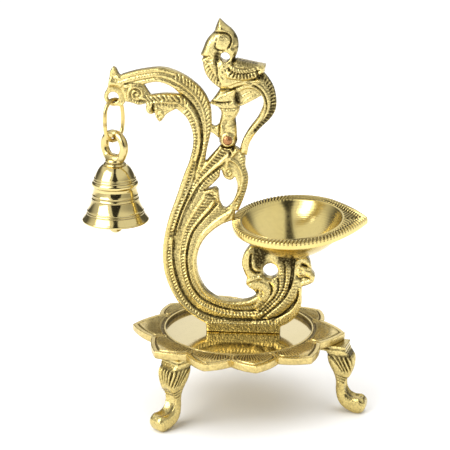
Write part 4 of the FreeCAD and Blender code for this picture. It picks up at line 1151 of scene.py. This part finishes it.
def legs():
    verts, quads, tint = leg_form()
    for name, angle in LEG_ANGLES.items():
        turned = verts @ turn_matrix("Z", angle).T + LEG_CENTRE
        piece(name, turned, quads, LEG, "lamp", tint)


# ---- oil cup ------------------------------------------------------------------------------------------
CUP_R = 32.0
CUP_TIP = 38.8
CUP_BOWL_R = 26.4
CUP_BOWL_AT = np.array((-0.8, 0.8))
CUP_BOWL_DEPTH = 16.5
ROPE_PITCH = 2.1


def teardrop(count):
    """The cup's outline about its own centre: a round back, and sides that draw out to a point at +X."""
    side = polar(CUP_R, 50)
    waist = np.array((31.4, 12.4))
    ahead = smooth([polar(CUP_R, 58), side, waist, (CUP_TIP, 0.0)], 0.2)
    ahead = ahead[ahead[:, 0] >= side[0]]
    back = [polar(CUP_R, a) for a in np.linspace(180, 50.3, 300)]
    half = np.vstack([back, ahead])
    run = np.concatenate([[0], np.cumsum(np.linalg.norm(np.diff(half, axis=0), axis=1))])
    at = np.linspace(0, run[-1], count // 2 + 1)
    upper = np.stack([np.interp(at, run, half[:, 0]), np.interp(at, run, half[:, 1])], 1)
    lower = upper[-2:0:-1] * (1, -1)
    return np.vstack([upper, lower]), np.concatenate([at, 2 * run[-1] - at[-2:0:-1]])


def cup_top(xy, to_edge, to_bowl, run):
    """Height and patina of the flat of the rim: a roped bead, a fine ring line, and a leaf on the spout; painted
    shade darkens the bead and the leaf towards the back.
    """
    x, y = xy.T
    bead = clamp(1 - ((to_edge - 2.35) / 2.35) ** 2) ** 0.5
    twist = teeth(run + 0.5 * to_edge, ROPE_PITCH)
    height = 0.8 * bead - 1.2 * twist * bead
    # the rope bead is painted darker towards the back of the cup, as shade
    dark = clamp(bead * 1.6) * (0.1 + 0.9 * twist) * (0.78 + 0.22 * np.tanh(y / 8.0))
    line = hump((to_edge - 4.8) / 0.28)
    lip = hump((to_bowl - 0.5) / 0.28)
    height += 0.2 * lip - 0.3 * line
    dark = np.maximum(dark, 0.9 * line)
    spout = clamp((to_bowl - 1.1) / 0.5) * clamp((to_edge - 2.6) / 0.4) * (x > 16)
    veins = teeth(np.abs(y) * 0.55 + (CUP_TIP - x) * 0.8, 1.75)
    middle = hump(y / 0.45)
    height -= spout * (0.6 * veins + 0.6 * middle)
    # the back half of the spout leaf gets painted shade
    dark = np.maximum(dark, spout * clamp(0.12 + 0.25 * (y > 0) + 0.85 * veins + 0.9 * middle))
    return height, clamp(dark)


def oil_cup():
    """The cup in rings from the bowl's bottom over the rim and down the outside."""
    count = 1024
    edge, run = teardrop(count)
    unit = edge / np.linalg.norm(edge, axis=1)[:, None]
    bowl_r = (CUP_BOWL_R ** 2 + CUP_BOWL_DEPTH ** 2) / (2 * CUP_BOWL_DEPTH)
    skin = Rings(count)
    for r in list(np.linspace(0.001, CUP_BOWL_R - 0.6, 27)) + [CUP_BOWL_R - 0.12]:
        skin.add(CUP_BOWL_AT + unit * r, bowl_r - CUP_BOWL_DEPTH - math.sqrt(bowl_r ** 2 - r ** 2), 0.02)
    bowl_bands = len(skin.points)
    inner = CUP_BOWL_AT + unit * (CUP_BOWL_R + 0.1)
    loop = np.vstack([edge, edge[:1]])
    for s in np.linspace(0, 1, 48):
        share = 1 - (1 - s) ** 1.3
        xy = inner + share * (edge - inner)
        to_edge = distance_to_loop(xy, loop)
        height, tint = cup_top(xy, to_edge, np.linalg.norm(xy - CUP_BOWL_AT, axis=1) - CUP_BOWL_R, run)
        roll = clamp(1 - to_edge / 0.4)
        skin.add(xy, height - 0.3 * (1 - np.sqrt(1 - 0.999 * roll ** 2)), tint)
    outward = np.roll(edge, -1, 0) - np.roll(edge, 1, 0)
    outward = np.stack([-outward[:, 1], outward[:, 0]], 1) / np.linalg.norm(outward, axis=1)[:, None]
    outward *= np.sign((outward * edge).sum(1))[:, None]
    beads = teeth(run, ROPE_PITCH)
    for z, out, share, tint in ((-0.35, 0.0, 1.0, 0.2), (-0.8, 0.05, 0.4, 0.0), (-1.4, 0.1, 0.0, 0.0),
                                (-2.9, 0.05, 0.0, 0.0), (-3.4, -0.15, 0.0, 0.05), (-3.6, -0.6, 0.0, 0.4)):
        skin.add(edge + outward * (out - 0.3 * share * beads)[:, None], z, tint + 0.5 * share * beads)
    skin.add(edge * 0.955, -3.7, 0.55)
    skin.add(edge * 0.5 + unit * 14.2, -3.8, 0.45)
    sections = smooth([(27.9, -3.9), (27.2, -4.9), (24.9, -7.8), (20.2, -12.2), (13.6, -16.6), (7.4, -19.4),
                       (5.4, -20.0)], 0.8)
    for radius, z in sections:
        line = math.exp(-((z + 5.4) / 0.35) ** 2)
        skin.add(unit * (radius - 0.22 * line), z, 0.1 + 0.5 * line)
    skin.add(unit * 1e-3, -20.0, 0.4)
    verts, faces, dark = skin.mesh()
    turn = turn_matrix("X", CUP_LEAN) @ turn_matrix("Y", -CUP_RISE)
    placed = verts @ turn.T + CUP_CENTRE
    obj = piece("oil_cup", placed, faces, CUP_OUT, "lamp", dark)
    second_material(obj, BOWL, bowl_bands * count)


# ---- bell ---------------------------------------------------------------------------------------------
BELL_TOP = BELL_MOUTH + 30.4
GAP = 0.10                  # left between a wire and what it hangs in
LINK_R = 1.05               # wire radii and centre lines
LINK_SIZE = (12.9, 21.5, 2.0)
LINK_TURN = 56.0
LOOP_RING = (6.75, 2.25)
STAPLE_R = 0.7
ROD_EYE = (2.0, 0.65)
BALL_R = 3.85
BALL_Z = 96.4


def about_bell(verts):
    return verts + (BELL_X, 0, 0)


def bell_body():
    """Dome with two fine ridges, a bead, a waist with a ridge pair, and a flared lip; hollow beneath."""
    m = BELL_MOUTH
    outside = smooth([(1.95, BELL_TOP), (4.6, BELL_TOP), (6.6, BELL_TOP - 0.25), (8.2, m + 28.7), (9.3, m + 27.0),
                      (10.2, m + 25.2), (10.7, m + 23.9)], 0.3)
    rings = [(10.95, m + 23.8), (11.1, m + 23.5), (10.95, m + 23.2), (11.1, m + 23.0), (11.4, m + 22.6),
             (11.35, m + 22.2), (11.3, m + 22.0), (11.75, m + 21.6), (12.15, m + 21.1), (12.3, m + 20.4),
             (12.2, m + 19.7), (11.85, m + 19.2), (11.5, m + 19.0), (11.3, m + 18.6), (11.5, m + 17.2),
             (11.85, m + 15.4), (12.0, m + 14.9), (12.25, m + 14.6), (12.25, m + 14.3), (12.05, m + 14.0),
             (12.25, m + 13.0), (12.5, m + 12.8), (12.65, m + 12.5), (12.5, m + 12.2), (12.5, m + 12.0)]
    skirt = smooth([(12.5, m + 12.0), (13.0, m + 10.2), (13.75, m + 8.2), (14.6, m + 6.5)], 0.3)
    skirt_rings = [(14.85, m + 6.35), (15.05, m + 6.0), (14.95, m + 5.7), (15.0, m + 5.5), (15.3, m + 5.2),
                   (15.4, m + 4.8), (15.35, m + 4.6)]
    lip = smooth([(15.35, m + 4.6), (16.2, m + 3.2), (17.0, m + 2.0), (17.55, m + 1.25), (17.7, m + 0.8),
                  (17.5, m + 0.28), (17.1, m + 0.02)], 0.2)
    inside = smooth([(17.1, m + 0.02), (16.4, m + 0.15), (15.7, m + 0.9), (13.6, m + 5.2), (11.6, m + 9.8),
                     (9.6, m + 16.4), (9.1, m + 22.6), (7.4, m + 26.6), (4.6, BELL_TOP - 2.2),
                     (1.95, BELL_TOP - 2.0)], 0.4)
    profile = np.vstack([outside, rings, skirt, skirt_rings, lip, inside[1:]])
    segments = 192
    verts, faces = revolve_ring(profile, segments)
    tint = np.zeros(len(verts))
    for level, width in ((23.25, 0.2), (22.05, 0.22), (18.95, 0.25), (14.0, 0.2), (12.1, 0.2), (5.65, 0.2),
                         (4.6, 0.2)):
        tint = np.maximum(tint, 0.75 * hump((verts[:, 2] - m - level) / width))
    count = len(profile)
    hollow = np.repeat(np.arange(count) > count - len(inside) + 3, segments)
    tint = np.where(hollow, 0.55, tint)
    piece("bell_body", about_bell(verts), faces, POLISHED, "bell", tint)


def revolve_ring(profile, count):
    """A lathe profile that closes on itself and does not touch the axis."""
    angle = np.linspace(0, 2 * math.pi, count, endpoint=False)
    verts = np.array([(r * math.cos(a), r * math.sin(a), z) for r, z in profile for a in angle])
    return verts, strips([list(range(k * count, (k + 1) * count)) for k in range(len(profile))], closed=True)


def bell_loop():
    """Cast ring soldered to a waisted collar on the bell's crown."""
    centre = np.array((BELL_X, 0.0, LINK_FOOT[2] + LINK_R + GAP - LOOP_RING[0] + LOOP_RING[1]))
    normal = turn_matrix("Z", LINK_TURN - 90.0) @ np.array((0.0, 1.0, 0.0))

    def field(p):
        loop = ring_field(p, centre, normal, *LOOP_RING)
        q = p - np.array((BELL_X, 0, BELL_TOP))
        r = np.hypot(q[:, 0], q[:, 1])
        cone = (r - 6.2 + 1.8 * clamp(q[:, 2] / 3.4)) * 0.88
        waist = 0.5 * hump((q[:, 2] - 1.5) / 0.42)
        collar = np.maximum(np.maximum(cone + waist, q[:, 2] - 3.3), -q[:, 2])
        stem = np.maximum(np.maximum(r - 1.9, q[:, 2] - 1), -2.8 - q[:, 2])
        along = (p - centre) @ np.cross(normal, (0.0, 0.0, 1.0))
        root = np.sqrt((along / 5.6) ** 2 + ((p - centre) @ normal / 3.0) ** 2 + ((q[:, 2] - 3.6) / 2.2) ** 2)
        foot = soft_min(collar, (root - 1) * 2.2, 0.8)
        blend = np.clip((centre[2] - 3.0 - p[:, 2]) / 1.5, 0.02, 1)
        joined = soft_min(loop, foot, 1.6 * blend)
        return np.minimum(joined, stem)

    low, high = (BELL_X - 9.2, -9.2, BELL_TOP - 2.9), (BELL_X + 9.2, 9.2, centre[2] + 9.1)
    verts, quads = from_field(field, low, high, 0.32)
    q = verts - np.array((BELL_X, 0, BELL_TOP))
    tint = 0.8 * hump((q[:, 2] - 1.5) / 0.4) + 0.5 * hump((q[:, 2] - 3.6) / 0.5)
    piece("bell_loop", verts, quads, LOOP, "bell", clamp(tint))


def oval_path(width, height, flat):
    """Centre line of an oval wire in the XZ plane, its highest point at the origin."""
    bend = (width - flat) / 2
    corners = [(flat / 2, -bend, 90, 0), (flat / 2, bend - height, 0, -90),
               (-flat / 2, bend - height, -90, -180), (-flat / 2, -bend, 180, 90)]
    points = []
    for x, z, first, last in corners:
        for a in np.radians(np.linspace(first, last, 21)):
            points.append((x + bend * math.cos(a), 0.0, z + bend * math.sin(a)))
    path = np.array(points)
    dense = []
    for a, b in zip(path, np.roll(path, -1, 0)):
        steps = max(1, int(np.linalg.norm(b - a) / 0.8))
        dense += [a + (b - a) * k / steps for k in range(steps)]
    return np.array(dense)


def hanging_link():
    """Bent wire oval, its sides bowed, with a dark seam and darker towards its ends."""
    path = oval_path(*LINK_SIZE)
    path[:, 0] *= 1.06 - 0.30 * (2 * path[:, 2] / LINK_SIZE[1] + 1) ** 2
    path = path @ turn_matrix("Z", LINK_TURN).T
    path = path + EYE - (0, 0, 2.7 - LINK_R - GAP)
    verts, faces = tube(path, LINK_R, 32)
    seam = np.linalg.norm(verts - (path[np.argmin(path[:, 0] + 0.4 * np.abs(path[:, 2] - 152))]), axis=1)
    z = verts[:, 2]
    to_end = np.minimum(np.abs(z - path[:, 2].max()), np.abs(z - path[:, 2].min()))
    near_ends = clamp(1 - to_end / 3)
    tint = 0.45 * near_ends + 0.55 * clamp(1 - np.abs(seam - 1.1) / 0.5)
    piece("hanging_link", verts, faces, WIRE, "link", clamp(tint))


def clapper():
    """The staple on its boss inside the dome, and the rod and ball that hang from it."""
    staple_size = 4.4
    staple_top = STAPLE_FOOT[2] + staple_size
    path = oval_path(staple_size, staple_size, 1.0) @ turn_matrix("Z", 90).T + (BELL_X, 0, staple_top)
    boss_top = BELL_TOP - 2.8
    boss = smooth([(0.0, staple_top - 0.3), (1.25, staple_top), (1.3, staple_top + 0.4), (1.2, boss_top - 0.06),
                   (1.1, boss_top), (0.0, boss_top)], 0.15)
    tube_verts, tube_faces = tube(path, STAPLE_R, 20)
    boss_verts, boss_faces = revolve(boss, 40)
    faces = tube_faces + [[i + len(tube_verts) for i in face] for face in boss_faces]
    staple_verts = np.vstack([tube_verts, about_bell(boss_verts)])
    piece("clapper_staple", staple_verts, faces, WIRE, "bell",
          np.full(len(staple_verts), 0.35))

    eye = STAPLE_FOOT[2] + STAPLE_R + GAP - (ROD_EYE[0] - ROD_EYE[1])

    def rod(p):
        ring = ring_field(p, (BELL_X, 0.0, eye), (0, 1, 0), *ROD_EYE)
        shaft = rod_field(p, (BELL_X, 0, eye - 2.6), (BELL_X, 0, BALL_Z + 3.6), 0.8)
        return np.where(p[:, 2] > eye - 1.2, ring, soft_min(ring, shaft, 0.5))

    verts, quads = from_field(rod, (BELL_X - 2.7, -0.9, BALL_Z + 2.8), (BELL_X + 2.7, 0.9, eye + 2.7), 0.2)
    piece("clapper_rod", verts, quads, WIRE, "clapper", np.full(len(verts), 0.3))
    profile = [(BALL_R * math.sin(a), BALL_Z - BALL_R * math.cos(a)) for a in np.linspace(0, math.pi - 0.22, 40)]
    neck = [(0.84, BALL_Z + 3.73), (0.82, BALL_Z + 3.3), (0.0, BALL_Z + 3.25)]
    verts, faces = revolve(profile + neck, 72)
    band = hump((verts[:, 2] - BALL_Z) / 0.18)
    verts[:, :2] *= (1 - 0.03 * band)[:, None]
    piece("clapper_ball", about_bell(verts), faces, POLISHED, "clapper",
          0.55 * band + 0.1)


# ---- rivet, screws, washers and stud ------------------------------------------------------------------
def parrot_rivet():
    """Copper rivet: a domed, hand-hammered head on each side."""
    front, back = -4.2, 3.6
    head_r, head_rise = 2.5, 1.1
    sphere_r = (head_r ** 2 + head_rise ** 2) / (2 * head_rise)
    dome = [(sphere_r * math.sin(a), head_rise - sphere_r * (1 - math.cos(a)))
            for a in np.linspace(0, math.asin(head_r / sphere_r), 16)]
    lower = [(r, back + rise) for r, rise in dome]
    upper = [(r, front - rise) for r, rise in dome]
    profile = lower + [(2.42, back), (1.6, back - 0.02), (1.6, front + 0.02), (2.42, front)] + upper[::-1]
    verts, faces = revolve(profile, 64)
    dents = [(0.9, 0.4), (-0.7, 0.9), (-0.3, -1.1), (1.1, -0.8), (-1.4, -0.2)]
    push = np.zeros(len(verts))
    for a, b in dents:
        push += 0.14 * np.exp(-((verts[:, 0] - a) ** 2 + (verts[:, 1] - b) ** 2) / 0.35)
    head = np.abs(verts[:, 2] - (front + back) / 2) > 4.0
    verts[:, 2] -= np.where(head, push * np.sign(verts[:, 2]), 0)
    rim = clamp((np.hypot(verts[:, 0], verts[:, 1]) - 1.9) / 0.6)
    placed = verts @ turn_matrix("X", -90).T + (RIVET[0], 0, RIVET[2])
    piece("parrot_rivet", placed, faces, COPPER, "lamp", 0.7 * rim + 2.0 * push)


SCREW_HEAD_R = 2.8
SCREW_HEAD_TALL = 1.9
SCREW_SHANK_R = 1.5
SCREW_PITCH = 0.8
SLOT_HALF = 0.42
SLOT_DEEP = 0.95


def slotted_screw(name, place, head_top, grip, slot_angle):
    """A slotted pan-head screw driven from beneath, with a threaded shank."""
    slot = math.radians(slot_angle)

    def field(p):
        q = p - np.array((place[0], place[1], 0))
        r = np.hypot(q[:, 0], q[:, 1])
        z = q[:, 2]
        head = drum_field(q, (0, 0, head_top - SCREW_HEAD_TALL), SCREW_HEAD_TALL, SCREW_HEAD_R, 0.55)
        across = np.abs(q[:, 0] * math.sin(slot) - q[:, 1] * math.cos(slot)) - SLOT_HALF
        head = np.maximum(head, -np.maximum(across, z - (head_top - SLOT_DEEP)))
        twist = np.arctan2(q[:, 1], q[:, 0]) / (2 * math.pi)
        thread = 0.16 * (0.5 + 0.5 * np.cos(2 * math.pi * (z / SCREW_PITCH - twist)))
        shank = np.maximum(np.maximum(r - SCREW_SHANK_R + thread, z - head_top - grip), head_top - 0.2 - z)
        return np.minimum(head, shank)

    low = (place[0] - 2.9, place[1] - 2.9, head_top - 2.0)
    high = (place[0] + 2.9, place[1] + 2.9, head_top + grip + 0.1)
    verts, quads = from_field(field, low, high, 0.2)
    tint = np.where(verts[:, 2] < head_top - 1.88, 0.15, 0.4)
    slot_floor = np.abs(verts[:, 2] - head_top + SLOT_DEEP) < 0.12
    piece(name, verts, quads, STEEL, "lamp", np.where(slot_floor, 0.8, tint))


def fixings():
    """Leg screws, frame screws with their washers, and the stud under the cup."""
    for k, (name, angle) in enumerate(LEG_ANGLES.items()):
        place = LEG_CENTRE[:2] + polar(LEG_SCREW_REACH, angle)
        slotted_screw(name.replace("leg_", "leg_screw_"), place, 35.0, 6.0, 25 + 61 * k)
    for k, (side, x) in enumerate(FRAME_SCREW_X.items()):
        slotted_screw(f"frame_screw_{side}", (x, 0.0), 37.1, 6.2, 70 - 88 * k)
        ring = [(1.55, 37.2), (1.6, 37.1), (3.75, 37.1), (3.9, 37.25), (3.9, 37.8), (3.78, 38.0), (1.6, 38.0),
                (1.55, 37.9)]
        verts, faces = revolve_ring(ring, 72)
        edge = (np.hypot(verts[:, 0], verts[:, 1]) > 3.8) * 0.4
        name = f"frame_washer_{side}"
        piece(name, verts + (x, 0, 0), faces, STEEL, "lamp", edge)
    thread = [(2.0 if k % 2 else 1.84, 73.7 + 0.4 * k) for k in range(27)]
    verts, faces = revolve([(0.0, 73.5), (1.6, 73.5)] + thread + [(1.8, 84.5), (0.0, 84.5)], 48)
    piece("cup_stud", verts + (26.5, 0, 0), faces, STEEL, "lamp",
          np.where(np.hypot(verts[:, 0], verts[:, 1]) < 1.9, 0.5, 0.1))
# ---- camera, light and floor --------------------------------------------------------------------------
CAMERA_AT = np.array((52.1, -745.0, 286.7 + PLATE_TOP))     # eye point, drawn coordinates
CAMERA_RIGHT = np.array((0.99666, 0.08148, 0.00500))
CAMERA_UP = np.array((-0.02875, 0.29302, 0.95567))
FOCAL_SHARE = 1488 / 450                                    # focal length over the picture's width
WALL_LIGHT = ((-174, 1.0), (-166, 0.15), (-118, 0.12), (-95, 0.55), (-50, 0.9), (-20, 1.0), (40, 0.6), (75, 0.45),
              (105, 0.5), (125, 0.12), (162, 0.12), (174, 1.0))    # by degrees from the front
CEILING_LIGHT = 0.9
SLIT_TURN = 0.10            # radians, of the dark slit about the vertical
WORLD_LIGHT = 1.05


def stand_camera():
    data = bpy.data.cameras.new("camera")
    data.sensor_width = 36.0
    data.lens = 36.0 * FOCAL_SHARE
    data.clip_start = 0.05
    data.clip_end = 20.0
    camera = bpy.data.objects.new("camera", data)
    bpy.context.scene.collection.objects.link(camera)
    back = np.cross(CAMERA_RIGHT, CAMERA_UP)
    turn = Matrix([list(row) for row in np.stack([CAMERA_RIGHT, CAMERA_UP, back], 1)]).to_4x4()
    camera.matrix_world = Matrix.Translation(((CAMERA_AT + SHIFT) * MM).tolist()) @ turn
    bpy.context.scene.camera = camera


def area_light(name, place, aim, size, watts):
    data = bpy.data.lights.new(name, "AREA")
    data.shape = "RECTANGLE"
    data.size, data.size_y = size
    data.energy = watts
    light = bpy.data.objects.new(name, data)
    bpy.context.scene.collection.objects.link(light)
    light.location = place
    light.rotation_euler = (Vector(aim) - Vector(place)).to_track_quat("-Z", "Y").to_euler()
    return light


def floor_and_light():
    half = 6.0
    mesh = bpy.data.meshes.new("floor")
    mesh.from_pydata([(-half, -half, 0), (half, -half, 0), (half, half, 0), (-half, half, 0)], [], [(0, 1, 2, 3)])
    floor = bpy.data.objects.new("floor", mesh)
    bpy.context.scene.collection.objects.link(floor)
    material, s, surface = new_material("floor_white")
    s.put(surface, {"Base Color": rgb(0.93, 0.93, 0.93), "Roughness": 0.9, "Specular IOR Level": 0.1})
    mesh.materials.append(material)
    bpy.context.scene.world = studio_surroundings()
    area_light("key", (-1.1, -0.9, 1.0), (0, 0, 0.1), (1.3, 1.4), 24)
    area_light("top", (0.1, 0.3, 1.6), (0, 0, 0.0), (2.4, 2.0), 22).visible_glossy = False


def studio_surroundings():
    """A light tent: bright all round and above, with a dark opening where the camera stands, a slit above it,
    and dark corners behind the object on both sides."""
    world = bpy.data.worlds.new("studio")
    world.use_nodes = True
    s = Shader(world)
    ray = s.add("ShaderNodeTexCoord", {}).outputs["Generated"]
    part = s.add("ShaderNodeSeparateXYZ", {"Vector": ray}).outputs
    turn = s.maths("ARCTAN2", part["X"], s.maths("MULTIPLY", part["Y"], -1.0))
    walls = s.add("ShaderNodeValToRGB", {"Fac": s.maths("MULTIPLY_ADD", turn, 0.5 / math.pi, 0.5)})
    ramp = walls.color_ramp
    ramp.elements[0].color = ramp.elements[-1].color = rgb(1, 1, 1)
    for angle, level in WALL_LIGHT:
        stop = ramp.elements.new(0.5 + math.radians(angle) / (2 * math.pi))
        stop.color = rgb(level, level, level)
    half = s.add("ShaderNodeMapRange", {"Value": part["Z"], "From Min": 0.0, "From Max": 0.75, "To Min": 0.5,
                                        "To Max": 0.11}).outputs["Result"]
    sideways = s.maths("MULTIPLY", part["Y"], math.sin(SLIT_TURN))
    across = s.maths("MULTIPLY_ADD", part["X"], math.cos(SLIT_TURN), sideways)
    middle = s.maths("MULTIPLY", half, 0.2)
    beside = s.maths("SUBTRACT", s.maths("ABSOLUTE", s.maths("SUBTRACT", across, middle)), half)
    tent = s.add("ShaderNodeMapRange", {"Value": beside, "From Min": -0.03, "From Max": 0.03, "To Min": 0.04},
                 interpolation_type="SMOOTHSTEP").outputs["Result"]
    behind = s.add("ShaderNodeMapRange", {"Value": s.maths("SUBTRACT", part["Y"], part["Z"]), "From Min": -0.1,
                                          "From Max": 0.1}).outputs["Result"]
    above = s.add("ShaderNodeMapRange", {"Value": part["Z"], "From Min": 0.3, "From Max": 0.6},
                  interpolation_type="SMOOTHSTEP").outputs["Result"]
    level = s.mix(above, walls.outputs["Color"], rgb(*[CEILING_LIGHT] * 3))
    level = s.maths("MULTIPLY", level, s.maths("MAXIMUM", tent, behind))
    seen = s.add("ShaderNodeLightPath", {}).outputs["Is Camera Ray"]
    level = s.maths("MULTIPLY", s.maths("MAXIMUM", level, seen), WORLD_LIGHT)
    s.put(s.tree.nodes["Background"], {"Strength": level, "Color": rgb(1, 1, 1)})
    return world


swan_frame()
parrot_finial()
lotus_plate()
legs()
oil_cup()
bell_body()
bell_loop()
hanging_link()
clapper()
parrot_rivet()
fixings()
stand_camera()
floor_and_light()
bpy.context.scene.view_settings.view_transform = "Standard"
